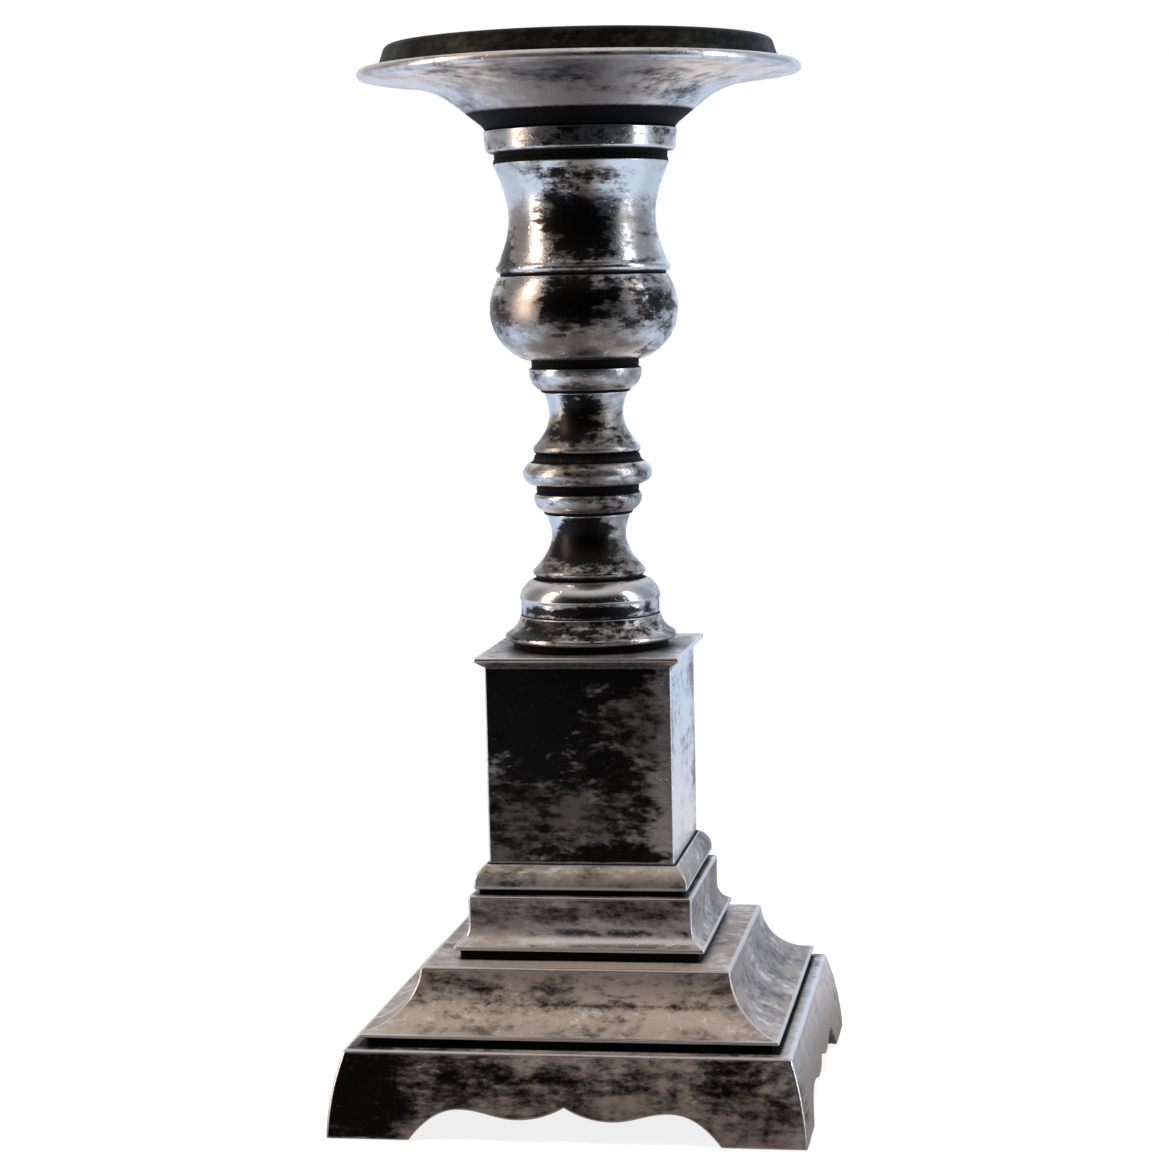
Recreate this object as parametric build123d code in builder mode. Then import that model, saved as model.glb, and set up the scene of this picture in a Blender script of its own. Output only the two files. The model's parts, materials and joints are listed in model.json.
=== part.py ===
from build123d import *
import os

# Tiered silver candlestick, in millimetres. Z is the axis of the stick, the feet stand on z = 0
# and the front faces -Y. Every tier is a separate casting or turning, stacked on one tie rod.
# The nozzle with its drip pan lifts out of the socket.

os.makedirs("parts", exist_ok=True)

# ---------------------------------------------------------------- driving dimensions

BASE_HALF = 48.6  # half the width across the feet
CANDLE_RADIUS = 11.25  # bore for a 22 mm candle
PAN_RADIUS = 46.2
DIE_HALF = 19.4  # half the width of the pedestal

# Heights of the joints between the tiers
SKIRT_TOP = 17.5
LOWER_STEP_TOP = 31.6
UPPER_STEP_TOP = 44.5
MOULDING_TOP = 50.6
DIE_TOP = 91.9
CAP_TOP = 93.9
FOOT_TOP = 100.8
FOOT_RING_TOP = 108.4
LOWER_NECK_TOP = 122.0
LOWER_RING_TOP = 127.0
KNOP_TOP = 134.8
UPPER_NECK_TOP = 147.6
FLANGE_TOP = 153.2
BULB_TOP = 172.0
VASE_TOP = 196.4
COLLAR_TOP = 202.3
PAN_TOP = 215.3
RING_TOP = 220.0

# Fastening
ROD_RADIUS = 3.0
ROD_HOLE_RADIUS = 3.3
ROD_BOTTOM = 5.4
ROD_TOP = 166.4
NUT_RADIUS = 5.8  # to the corners of the hexagon
NUT_HEIGHT = 4.6
WASHER_HEIGHT = 1.2
THREAD_GAP = 0.05

# Nozzle and its guide
SLEEVE_WALL = 1.1
SLEEVE_RADIUS = CANDLE_RADIUS + SLEEVE_WALL
FLOOR_THICKNESS = 1.2
SLEEVE_BOTTOM = 177.4
SLEEVE_TOP = 209.2
RUNNING_GAP = 0.08
LINER_BORE = SLEEVE_RADIUS + RUNNING_GAP
LINER_RADIUS = LINER_BORE + 0.9
LINER_BOTTOM = 175.0

# Walls and small features
SKIRT_WALL = 2.0
STEP_WALL = 2.2
DIE_WALL = 1.8
SPIGOT_RADIUS = 5.6
SPIGOT_HEIGHT = 1.4
SPIGOT_GAP = 0.1
FOOT_WIDTH = 17.0
REACH = 60.0  # longer than half of anything on the stick
BELOW = 5.0  # how far cutting shapes run past a face

BOTTOM = (Align.CENTER, Align.CENTER, Align.MIN)


# ---------------------------------------------------------------- shared shapes


def drill(radius, low, high):
    """Cut a round hole on the axis of the part that is being built."""
    with Locations((0, 0, low)):
        Cylinder(radius, high - low, align=BOTTOM, mode=Mode.SUBTRACT)


def spigot_joint(low, high):
    """Give a stem piece its rod hole, a spigot on top and a matching recess below."""
    with Locations((0, 0, high)):
        Cylinder(SPIGOT_RADIUS, SPIGOT_HEIGHT, align=BOTTOM)
    drill(SPIGOT_RADIUS + SPIGOT_GAP, low, low + SPIGOT_HEIGHT + SPIGOT_GAP)
    drill(ROD_HOLE_RADIUS, low, high + SPIGOT_HEIGHT)


def square_solid(outline):
    """Solid with square sections: two crossing extrusions of one outline, where both are."""
    with BuildPart() as tier:
        extrude(outline, amount=REACH, both=True)
        extrude(outline.rotate(Axis.Z, 90), amount=REACH, both=True, mode=Mode.INTERSECT)
    return tier.part


def square_block(half, low, high):
    """Plain square block around the axis."""
    with BuildPart() as block:
        with Locations((0, 0, low)):
            Box(2 * half, 2 * half, high - low, align=BOTTOM)
    return block.part


def hexagon_nut(low):
    """Chamfered nut on the tie rod."""
    with BuildPart() as nut:
        with BuildSketch(Plane.XY.offset(low)):
            RegularPolygon(NUT_RADIUS, 6)
        extrude(amount=NUT_HEIGHT)
        chamfer(nut.edges().filter_by(GeomType.LINE).filter_by(Plane.XY), 0.5)
        drill(ROD_RADIUS + THREAD_GAP, low, low + NUT_HEIGHT)
    return nut.part


def flat_washer(radius, low):
    """Plain washer on the tie rod."""
    with BuildPart() as washer:
        with BuildSketch(Plane.XY.offset(low)):
            Circle(radius)
            Circle(ROD_HOLE_RADIUS, mode=Mode.SUBTRACT)
        extrude(amount=WASHER_HEIGHT)
        chamfer(washer.edges().filter_by(GeomType.CIRCLE).group_by(Axis.Z)[-1], 0.2)
    return washer.part


# ---------------------------------------------------------------- base

# Skirt: flared apron with a flat top, on four bracket feet
with BuildSketch(Plane.XZ) as skirt_outline:
    with BuildLine():
        Line((0, 0), (BASE_HALF, 0))
        ThreePointArc((BASE_HALF, 0), (BASE_HALF - 1.05, 9.0), (BASE_HALF - 3.1, 16.6))
        TangentArc((BASE_HALF - 3.1, 16.6), (BASE_HALF - 3.9, SKIRT_TOP), tangent=(-0.15, 1))
        Line((BASE_HALF - 3.9, SKIRT_TOP), (0, SKIRT_TOP))
        mirror(about=Plane.YZ)
    make_face()

with BuildSketch(Plane.XZ) as skirt_hollow:
    inner_half = BASE_HALF - SKIRT_WALL
    ceiling = SKIRT_TOP - SKIRT_WALL
    with BuildLine():
        Line((0, -BELOW), (inner_half, -BELOW))
        Line((inner_half, -BELOW), (inner_half, 0))
        ThreePointArc((inner_half, 0), (inner_half - 1.0, 8.4), (inner_half - 2.9, ceiling))
        Line((inner_half - 2.9, ceiling), (0, ceiling))
        mirror(about=Plane.YZ)
    make_face()

# Opening between two feet: quarter arches, two hanging lobes and a pointed cusp
with BuildSketch(Plane.XZ) as arch_outline:
    foot_edge = BASE_HALF - FOOT_WIDTH
    with BuildLine():
        Line((0, -BELOW), (foot_edge, -BELOW))
        Line((foot_edge, -BELOW), (foot_edge, 0))
        ThreePointArc((foot_edge, 0), (27.2, 4.5), (21.4, 6.3))
        Spline((21.4, 6.3), (9.7, 4.5), tangents=[(-1, 0), (-1, 0)])
        Spline((9.7, 4.5), (0, 7.1), tangents=[(-1, 0), (-0.8, 0.6)])
        mirror(about=Plane.YZ)
    make_face()

with BuildPart() as base_skirt:
    add(square_solid(skirt_outline.sketch))
    add(square_solid(skirt_hollow.sketch), mode=Mode.SUBTRACT)
    add(square_block(28.0, 0, SKIRT_TOP), mode=Mode.SUBTRACT)
    extrude(arch_outline.sketch, amount=REACH, both=True, mode=Mode.SUBTRACT)
    extrude(
        arch_outline.sketch.rotate(Axis.Z, 90), amount=REACH, both=True, mode=Mode.SUBTRACT
    )
base_skirt.part.label = "base_skirt"
export_step(base_skirt.part, "parts/base_skirt.step")

# Bridge: the plate under the skirt's flange that the tie rod pulls against
BRIDGE_HALF = 34.0
BRIDGE_THICKNESS = 2.5
BRIDGE_BOTTOM = SKIRT_TOP - SKIRT_WALL - BRIDGE_THICKNESS
with BuildPart() as base_bridge:
    with BuildSketch(Plane.XY.offset(BRIDGE_BOTTOM)):
        Rectangle(2 * BRIDGE_HALF, 2 * BRIDGE_HALF)
        Circle(ROD_HOLE_RADIUS, mode=Mode.SUBTRACT)
    extrude(amount=BRIDGE_THICKNESS)
    fillet(base_bridge.edges().filter_by(Axis.Z), 5.0)
base_bridge.part.label = "base_bridge"
export_step(base_bridge.part, "parts/base_bridge.step")

# Lower step: thin edge over a shadow gap, wide cavetto, flat platform
with BuildSketch(Plane.XZ) as lower_step_outline:
    with BuildLine():
        Polyline((0, SKIRT_TOP), (41.4, SKIRT_TOP), (41.4, 18.9), (42.8, 19.2), (42.8, 19.9))
        ThreePointArc((42.8, 19.9), (35.4, 23.6), (32.0, 30.8))
        TangentArc((32.0, 30.8), (31.3, LOWER_STEP_TOP), tangent=(0, 1))
        Line((31.3, LOWER_STEP_TOP), (0, LOWER_STEP_TOP))
        mirror(about=Plane.YZ)
    make_face()

with BuildSketch(Plane.XZ) as lower_step_hollow:
    with BuildLine():
        Polyline((0, SKIRT_TOP - BELOW), (38.2, SKIRT_TOP - BELOW), (38.2, SKIRT_TOP))
        ThreePointArc((38.2, SKIRT_TOP), (32.6, 21.8), (29.6, LOWER_STEP_TOP - STEP_WALL))
        Line((29.6, LOWER_STEP_TOP - STEP_WALL), (0, LOWER_STEP_TOP - STEP_WALL))
        mirror(about=Plane.YZ)
    make_face()

with BuildPart() as lower_step:
    add(square_solid(lower_step_outline.sketch))
    add(square_solid(lower_step_hollow.sketch), mode=Mode.SUBTRACT)
    add(square_block(15.0, SKIRT_TOP, LOWER_STEP_TOP), mode=Mode.SUBTRACT)
lower_step.part.label = "lower_step"
export_step(lower_step.part, "parts/lower_step.step")

# Upper step: the same order on a smaller scale, with an upright band over the cavetto
with BuildSketch(Plane.XZ) as upper_step_outline:
    base = LOWER_STEP_TOP
    with BuildLine():
        Polyline((0, base), (24.9, base), (24.9, base + 1.8), (26.1, base + 2.1))
        Line((26.1, base + 2.1), (26.1, base + 2.8))
        ThreePointArc((26.1, base + 2.8), (24.2, base + 4.1), (23.3, base + 6.6))
        Line((23.3, base + 6.6), (23.3, UPPER_STEP_TOP - 0.5))
        TangentArc((23.3, UPPER_STEP_TOP - 0.5), (22.8, UPPER_STEP_TOP), tangent=(0, 1))
        Line((22.8, UPPER_STEP_TOP), (0, UPPER_STEP_TOP))
        mirror(about=Plane.YZ)
    make_face()

with BuildPart() as upper_step:
    add(square_solid(upper_step_outline.sketch))
    add(
        square_block(20.8, LOWER_STEP_TOP, UPPER_STEP_TOP - STEP_WALL), mode=Mode.SUBTRACT
    )
    add(square_block(12.0, LOWER_STEP_TOP, UPPER_STEP_TOP), mode=Mode.SUBTRACT)
upper_step.part.label = "upper_step"
export_step(upper_step.part, "parts/upper_step.step")

# Moulding under the pedestal: shadow gap, upright edge, quarter round
with BuildSketch(Plane.XZ) as moulding_outline:
    base = UPPER_STEP_TOP
    with BuildLine():
        Polyline((0, base), (21.3, base), (21.3, base + 1.1), (22.3, base + 1.3))
        Line((22.3, base + 1.3), (22.3, base + 2.4))
        ThreePointArc((22.3, base + 2.4), (21.4, base + 4.8), (19.9, MOULDING_TOP))
        Line((19.9, MOULDING_TOP), (0, MOULDING_TOP))
        mirror(about=Plane.YZ)
    make_face()

LOCATOR_HALF = DIE_HALF - DIE_WALL - SPIGOT_GAP
with BuildPart() as die_moulding:
    add(square_solid(moulding_outline.sketch))
    add(square_block(LOCATOR_HALF, MOULDING_TOP, MOULDING_TOP + 2.0))
    drill(ROD_HOLE_RADIUS, UPPER_STEP_TOP, MOULDING_TOP + 2.0)
die_moulding.part.label = "die_moulding"
export_step(die_moulding.part, "parts/die_moulding.step")

# Pedestal: a plain square tube
with BuildPart() as pedestal_die:
    with BuildSketch(Plane.XY.offset(MOULDING_TOP)):
        Rectangle(2 * DIE_HALF, 2 * DIE_HALF)
        Rectangle(2 * (DIE_HALF - DIE_WALL), 2 * (DIE_HALF - DIE_WALL), mode=Mode.SUBTRACT)
    extrude(amount=DIE_TOP - MOULDING_TOP)
    corners = pedestal_die.edges().filter_by(Axis.Z)
    fillet(corners.sort_by_distance((0, 0, MOULDING_TOP))[-4:], 0.4)
pedestal_die.part.label = "pedestal_die"
export_step(pedestal_die.part, "parts/pedestal_die.step")

# Cap: thin square plate with a bevel below, located inside the pedestal
CAP_HALF = 21.4
with BuildSketch(Plane.XZ) as cap_outline:
    with BuildLine():
        Polyline((0, DIE_TOP), (DIE_HALF + 0.4, DIE_TOP), (CAP_HALF, CAP_TOP - 0.8))
        Line((CAP_HALF, CAP_TOP - 0.8), (CAP_HALF, CAP_TOP - 0.2))
        Polyline((CAP_HALF, CAP_TOP - 0.2), (CAP_HALF - 0.3, CAP_TOP), (0, CAP_TOP))
        mirror(about=Plane.YZ)
    make_face()

with BuildPart() as plinth_cap:
    add(square_solid(cap_outline.sketch))
    add(square_block(LOCATOR_HALF, DIE_TOP - 2.0, DIE_TOP))
    with Locations((0, 0, CAP_TOP)):
        Cylinder(SPIGOT_RADIUS, SPIGOT_HEIGHT, align=BOTTOM)
    drill(ROD_HOLE_RADIUS, DIE_TOP - 2.0, CAP_TOP + SPIGOT_HEIGHT)
plinth_cap.part.label = "plinth_cap"
export_step(plinth_cap.part, "parts/plinth_cap.step")

# ---------------------------------------------------------------- stem

# Foot: thin round edge over a shadow gap, then a concave sweep up to a straight collar
with BuildPart() as stem_foot:
    with BuildSketch(Plane.XZ):
        with BuildLine():
            Polyline((0, CAP_TOP), (16.4, CAP_TOP), (16.4, 95.4), (17.6, 95.6))
            ThreePointArc((17.6, 95.6), (18.1, 96.3), (17.7, 97.0))
            ThreePointArc((17.7, 97.0), (15.9, 98.4), (14.8, FOOT_TOP))
            Polyline((14.8, FOOT_TOP), (0, FOOT_TOP), (0, CAP_TOP))
        make_face()
    revolve(axis=Axis.Z)
    spigot_joint(CAP_TOP, FOOT_TOP)
stem_foot.part.label = "stem_foot"
export_step(stem_foot.part, "parts/stem_foot.step")

# Ring above the foot: straight band, then a rounded shoulder
with BuildPart() as foot_ring:
    with BuildSketch(Plane.XZ):
        with BuildLine():
            Polyline((0, FOOT_TOP), (14.6, FOOT_TOP), (14.6, 103.9), (14.9, 104.3))
            ThreePointArc((14.9, 104.3), (14.2, 106.4), (11.9, FOOT_RING_TOP))
            Polyline((11.9, FOOT_RING_TOP), (0, FOOT_RING_TOP), (0, FOOT_TOP))
        make_face()
    revolve(axis=Axis.Z)
    spigot_joint(FOOT_TOP, FOOT_RING_TOP)
foot_ring.part.label = "foot_ring"
export_step(foot_ring.part, "parts/foot_ring.step")

# Lower neck: rounded foot over a fine gap, then a deep hollow
with BuildPart() as lower_neck:
    with BuildSketch(Plane.XZ):
        with BuildLine():
            Polyline((0, FOOT_RING_TOP), (11.3, FOOT_RING_TOP), (11.3, 109.1))
            ThreePointArc((11.3, 109.1), (11.9, 109.8), (11.4, 110.6))
            Spline((11.4, 110.6), (9.2, 113.4), (7.8, 117.6), (8.9, LOWER_NECK_TOP))
            Polyline((8.9, LOWER_NECK_TOP), (0, LOWER_NECK_TOP), (0, FOOT_RING_TOP))
        make_face()
    revolve(axis=Axis.Z)
    spigot_joint(FOOT_RING_TOP, LOWER_NECK_TOP)
lower_neck.part.label = "lower_neck"
export_step(lower_neck.part, "parts/lower_neck.step")

# Ring under the knop: rounded below, straight above
with BuildPart() as lower_ring:
    with BuildSketch(Plane.XZ):
        with BuildLine():
            Polyline((0, LOWER_NECK_TOP), (9.2, LOWER_NECK_TOP), (9.5, 122.7))
            ThreePointArc((9.5, 122.7), (10.9, 124.0), (11.4, 125.9))
            Polyline((11.4, 125.9), (11.1, 126.4), (10.8, 126.4), (10.8, LOWER_RING_TOP))
            Polyline((10.8, LOWER_RING_TOP), (0, LOWER_RING_TOP), (0, LOWER_NECK_TOP))
        make_face()
    revolve(axis=Axis.Z)
    spigot_joint(LOWER_NECK_TOP, LOWER_RING_TOP)
lower_ring.part.label = "lower_ring"
export_step(lower_ring.part, "parts/lower_ring.step")

# Knop: a bold half round between a shadow gap and a short cove
with BuildPart() as knop:
    with BuildSketch(Plane.XZ):
        with BuildLine():
            Polyline((0, LOWER_RING_TOP), (10.8, LOWER_RING_TOP), (10.8, 128.2), (12.0, 128.4))
            ThreePointArc((12.0, 128.4), (13.56, 130.8), (12.1, 133.0))
            ThreePointArc((12.1, 133.0), (11.4, 133.5), (11.2, 134.3))
            Polyline((11.2, 134.3), (10.8, KNOP_TOP), (0, KNOP_TOP), (0, LOWER_RING_TOP))
        make_face()
    revolve(axis=Axis.Z)
    spigot_joint(LOWER_RING_TOP, KNOP_TOP)
knop.part.label = "knop"
export_step(knop.part, "parts/knop.step")

# Upper neck: rounded foot, then a deep hollow
with BuildPart() as upper_neck:
    with BuildSketch(Plane.XZ):
        with BuildLine():
            Polyline((0, KNOP_TOP), (10.8, KNOP_TOP), (11.2, 135.3))
            ThreePointArc((11.2, 135.3), (11.3, 136.0), (10.8, 136.7))
            Spline((10.8, 136.7), (8.9, 139.2), (7.78, 142.9), (8.4, 146.6), (8.8, UPPER_NECK_TOP))
            Polyline((8.8, UPPER_NECK_TOP), (0, UPPER_NECK_TOP), (0, KNOP_TOP))
        make_face()
    revolve(axis=Axis.Z)
    spigot_joint(KNOP_TOP, UPPER_NECK_TOP)
upper_neck.part.label = "upper_neck"
export_step(upper_neck.part, "parts/upper_neck.step")

# Flange under the socket: cup-shaped, with a shadow gap on top
with BuildPart() as stem_flange:
    with BuildSketch(Plane.XZ):
        with BuildLine():
            Polyline((0, UPPER_NECK_TOP), (9.2, UPPER_NECK_TOP), (9.6, 148.2))
            ThreePointArc((9.6, 148.2), (11.1, 149.5), (11.8, 151.4))
            Polyline((11.8, 151.4), (11.9, 152.6), (11.3, 152.8), (11.3, FLANGE_TOP))
            Polyline((11.3, FLANGE_TOP), (0, FLANGE_TOP), (0, UPPER_NECK_TOP))
        make_face()
    revolve(axis=Axis.Z)
    spigot_joint(UPPER_NECK_TOP, FLANGE_TOP)
stem_flange.part.label = "stem_flange"
export_step(stem_flange.part, "parts/stem_flange.step")

# ---------------------------------------------------------------- socket

BULB_FLOOR = 158.4
BULB_MOUTH = 15.6
with BuildPart() as socket_bulb:
    with BuildSketch(Plane.XZ):
        with BuildLine():
            Polyline((0, FLANGE_TOP), (11.3, FLANGE_TOP), (11.3, 154.4), (12.8, 154.7))
            ThreePointArc((12.8, 154.7), (17.9, 158.9), (19.74, 164.6))
            ThreePointArc((19.74, 164.6), (19.2, 168.6), (17.7, BULB_TOP))
            Polyline((17.7, BULB_TOP), (BULB_MOUTH, BULB_TOP), (BULB_MOUTH, 170.4))
            ThreePointArc((BULB_MOUTH, 170.4), (17.4, 164.8), (14.6, BULB_FLOOR))
            Polyline((14.6, BULB_FLOOR), (0, BULB_FLOOR), (0, FLANGE_TOP))
        make_face()
    revolve(axis=Axis.Z)
    drill(SPIGOT_RADIUS + SPIGOT_GAP, FLANGE_TOP, FLANGE_TOP + SPIGOT_HEIGHT + SPIGOT_GAP)
    drill(ROD_HOLE_RADIUS, FLANGE_TOP, BULB_FLOOR)
socket_bulb.part.label = "socket_bulb"
export_step(socket_bulb.part, "parts/socket_bulb.step")

# Vase: fine gap and bead at its foot, waist, and a shadow gap under the collar
VASE_SHELF = 11.4  # the ledge that the liner stands on
with BuildPart() as socket_vase:
    with BuildSketch(Plane.XZ):
        with BuildLine():
            Polyline((VASE_SHELF, BULB_TOP - 1.4), (BULB_MOUTH - SPIGOT_GAP, BULB_TOP - 1.4))
            Line((BULB_MOUTH - SPIGOT_GAP, BULB_TOP - 1.4), (BULB_MOUTH - SPIGOT_GAP, BULB_TOP))
            Polyline((BULB_MOUTH - SPIGOT_GAP, BULB_TOP), (17.4, BULB_TOP), (17.4, 172.7))
            ThreePointArc((17.4, 172.7), (18.3, 173.5), (17.8, 174.4))
            Spline((17.8, 174.4), (15.9, 179.7), (15.4, 184.6), (16.4, 190.2), (18.4, 195.2))
            Polyline((18.4, 195.2), (18.1, VASE_TOP), (LINER_RADIUS, VASE_TOP))
            Polyline((LINER_RADIUS, VASE_TOP), (LINER_RADIUS, LINER_BOTTOM))
            Polyline((LINER_RADIUS, LINER_BOTTOM), (VASE_SHELF, LINER_BOTTOM))
            Line((VASE_SHELF, LINER_BOTTOM), (VASE_SHELF, BULB_TOP - 1.4))
        make_face()
    revolve(axis=Axis.Z)
socket_vase.part.label = "socket_vase"
export_step(socket_vase.part, "parts/socket_vase.step")

with BuildPart() as socket_collar:
    with BuildSketch(Plane.XZ):
        with BuildLine():
            Polyline((LINER_RADIUS, VASE_TOP), (18.1, VASE_TOP), (18.1, 197.5), (19.5, 197.6))
            Polyline((19.5, 197.6), (19.8, 197.9), (20.2, 201.9), (19.8, COLLAR_TOP))
            Line((19.8, COLLAR_TOP), (LINER_RADIUS, COLLAR_TOP))
            Line((LINER_RADIUS, COLLAR_TOP), (LINER_RADIUS, VASE_TOP))
        make_face()
    revolve(axis=Axis.Z)
socket_collar.part.label = "socket_collar"
export_step(socket_collar.part, "parts/socket_collar.step")

with BuildPart() as socket_liner:
    with BuildSketch(Plane.XY.offset(LINER_BOTTOM)):
        Circle(LINER_RADIUS)
        Circle(LINER_BORE, mode=Mode.SUBTRACT)
    extrude(amount=COLLAR_TOP - LINER_BOTTOM)
    inner_mouth = socket_liner.edges().group_by(Axis.Z)[-1].sort_by(SortBy.RADIUS)[0]
    chamfer(inner_mouth, 0.3)
socket_liner.part.label = "socket_liner"
export_step(socket_liner.part, "parts/socket_liner.step")

# ---------------------------------------------------------------- nozzle

# Drip pan: flat seat on the collar, trumpet underside, rounded lip and a dished top
PAN_FLOOR = 203.9
RING_SEAT = 38.4
with BuildPart() as drip_pan:
    with BuildSketch(Plane.XZ):
        with BuildLine():
            Polyline((SLEEVE_RADIUS, COLLAR_TOP), (19.9, COLLAR_TOP), (20.5, 203.2))
            Spline((20.5, 203.2), (24.4, 206.3), (28.8, 209.5), (35.0, 211.6), (45.3, 213.0))
            ThreePointArc((45.3, 213.0), (PAN_RADIUS, 214.2), (45.3, PAN_TOP))
            Polyline((45.3, PAN_TOP), (RING_SEAT, PAN_TOP), (RING_SEAT - 0.4, 213.9))
            Spline((RING_SEAT - 0.4, 213.9), (33.0, 212.9), (27.4, 210.8), (22.6, 207.2))
            Polyline((22.6, 207.2), (18.6, PAN_FLOOR), (SLEEVE_RADIUS, PAN_FLOOR))
            Line((SLEEVE_RADIUS, PAN_FLOOR), (SLEEVE_RADIUS, COLLAR_TOP))
        make_face()
    revolve(axis=Axis.Z)
drip_pan.part.label = "drip_pan"
export_step(drip_pan.part, "parts/drip_pan.step")

# Raised ring on the pan, tapered, with a rounded top edge
with BuildPart() as pan_ring:
    with BuildSketch(Plane.XZ):
        with BuildLine():
            Polyline((38.6, PAN_TOP), (41.7, PAN_TOP), (40.6, RING_TOP - 1.5))
            TangentArc((40.6, RING_TOP - 1.5), (39.1, RING_TOP), tangent=(-0.34, 1))
            Polyline((39.1, RING_TOP), (38.4, RING_TOP), (38.0, RING_TOP - 0.4), (38.6, PAN_TOP))
        make_face()
    revolve(axis=Axis.Z)
pan_ring.part.label = "pan_ring"
export_step(pan_ring.part, "parts/pan_ring.step")

# Sleeve: the candle tube, with a rolled lip that stands above the pan's floor
with BuildPart() as nozzle_sleeve:
    with BuildSketch(Plane.XZ):
        with BuildLine():
            Polyline((CANDLE_RADIUS, SLEEVE_BOTTOM), (SLEEVE_RADIUS, SLEEVE_BOTTOM))
            Line((SLEEVE_RADIUS, SLEEVE_BOTTOM), (SLEEVE_RADIUS, SLEEVE_TOP - 1.8))
            ThreePointArc(
                (SLEEVE_RADIUS, SLEEVE_TOP - 1.8),
                (SLEEVE_RADIUS + 0.9, SLEEVE_TOP - 0.9),
                (SLEEVE_RADIUS, SLEEVE_TOP),
            )
            Polyline((SLEEVE_RADIUS, SLEEVE_TOP), (CANDLE_RADIUS + 0.3, SLEEVE_TOP))
            Line((CANDLE_RADIUS + 0.3, SLEEVE_TOP), (CANDLE_RADIUS, SLEEVE_TOP - 0.3))
            Line((CANDLE_RADIUS, SLEEVE_TOP - 0.3), (CANDLE_RADIUS, SLEEVE_BOTTOM))
        make_face()
    revolve(axis=Axis.Z)
nozzle_sleeve.part.label = "nozzle_sleeve"
export_step(nozzle_sleeve.part, "parts/nozzle_sleeve.step")

# Floor: a disc that closes the tube from below, chamfered so that it finds the liner
with BuildPart() as nozzle_floor:
    with BuildSketch(Plane.XY.offset(SLEEVE_BOTTOM - FLOOR_THICKNESS)):
        Circle(SLEEVE_RADIUS)
    extrude(amount=FLOOR_THICKNESS)
    chamfer(nozzle_floor.edges().group_by(Axis.Z)[0], 0.4)
nozzle_floor.part.label = "nozzle_floor"
export_step(nozzle_floor.part, "parts/nozzle_floor.step")

# ---------------------------------------------------------------- fasteners

with BuildPart() as tie_rod:
    with BuildSketch(Plane.XY.offset(ROD_BOTTOM)):
        Circle(ROD_RADIUS)
    extrude(amount=ROD_TOP - ROD_BOTTOM)
    chamfer(tie_rod.edges(), 0.5)
tie_rod.part.label = "tie_rod"
export_step(tie_rod.part, "parts/tie_rod.step")

with BuildPart() as top_washer:
    add(flat_washer(9.0, BULB_FLOOR))
top_washer.part.label = "top_washer"
export_step(top_washer.part, "parts/top_washer.step")

with BuildPart() as top_nut:
    add(hexagon_nut(BULB_FLOOR + WASHER_HEIGHT))
top_nut.part.label = "top_nut"
export_step(top_nut.part, "parts/top_nut.step")

with BuildPart() as bottom_washer:
    add(flat_washer(10.0, BRIDGE_BOTTOM - WASHER_HEIGHT))
bottom_washer.part.label = "bottom_washer"
export_step(bottom_washer.part, "parts/bottom_washer.step")

with BuildPart() as bottom_nut:
    add(hexagon_nut(BRIDGE_BOTTOM - WASHER_HEIGHT - NUT_HEIGHT))
bottom_nut.part.label = "bottom_nut"
export_step(bottom_nut.part, "parts/bottom_nut.step")
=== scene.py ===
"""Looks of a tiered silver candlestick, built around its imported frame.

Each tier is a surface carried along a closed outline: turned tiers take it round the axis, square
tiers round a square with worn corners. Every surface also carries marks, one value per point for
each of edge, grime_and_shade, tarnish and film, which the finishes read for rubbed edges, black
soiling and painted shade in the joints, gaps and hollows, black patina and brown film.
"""

import json
import logging
import math
from dataclasses import dataclass
from enum import Enum

import bpy
import numpy as np
from mathutils import Matrix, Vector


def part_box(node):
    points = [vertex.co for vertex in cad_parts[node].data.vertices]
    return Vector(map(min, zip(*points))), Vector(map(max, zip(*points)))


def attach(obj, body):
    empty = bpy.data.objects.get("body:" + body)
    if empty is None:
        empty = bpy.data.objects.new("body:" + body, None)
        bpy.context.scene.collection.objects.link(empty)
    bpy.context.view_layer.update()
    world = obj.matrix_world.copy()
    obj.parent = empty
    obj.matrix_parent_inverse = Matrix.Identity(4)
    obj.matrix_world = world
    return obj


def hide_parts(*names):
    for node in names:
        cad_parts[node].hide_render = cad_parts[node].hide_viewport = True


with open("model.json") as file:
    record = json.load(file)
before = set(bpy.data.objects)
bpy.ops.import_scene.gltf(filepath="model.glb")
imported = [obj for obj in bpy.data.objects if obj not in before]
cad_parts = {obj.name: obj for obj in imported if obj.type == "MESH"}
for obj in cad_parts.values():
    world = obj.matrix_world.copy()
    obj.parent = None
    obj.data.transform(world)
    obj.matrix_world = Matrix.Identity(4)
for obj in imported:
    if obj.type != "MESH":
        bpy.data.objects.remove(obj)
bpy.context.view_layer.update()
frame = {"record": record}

LOG = logging.getLogger("candlestick")
MM = 0.001
SEED = 1847
ROD_HOLE = 3.3
SPIGOT = (5.6, 1.4)
MARKS = ("edge", "grime_and_shade", "tarnish", "film")
POLE_REACH = 0.05
WHITE = (1.0, 1.0, 1.0)
Point = tuple[float, float]
Colour = tuple[float, float, float]


# ------------------------------------------------------------------ outlines


def blur(values: np.ndarray, spread: float, step: float) -> np.ndarray:
    """Smooths values round a closed outline with a Gaussian, as a product of spectra.

    Args:
        values: one row for each evenly spaced point of the outline.
        spread: the Gaussian's standard deviation, in millimetres.
        step: the distance between two points, in millimetres.

    Returns:
        The smoothed rows.
    """
    frequency = np.fft.fftfreq(len(values), step)
    keep = np.exp(-2.0 * (math.pi * frequency * spread) ** 2)
    keep = keep.reshape((-1,) + (1,) * (values.ndim - 1))
    return np.fft.ifft(np.fft.fft(values, axis=0) * keep, axis=0).real


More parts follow.
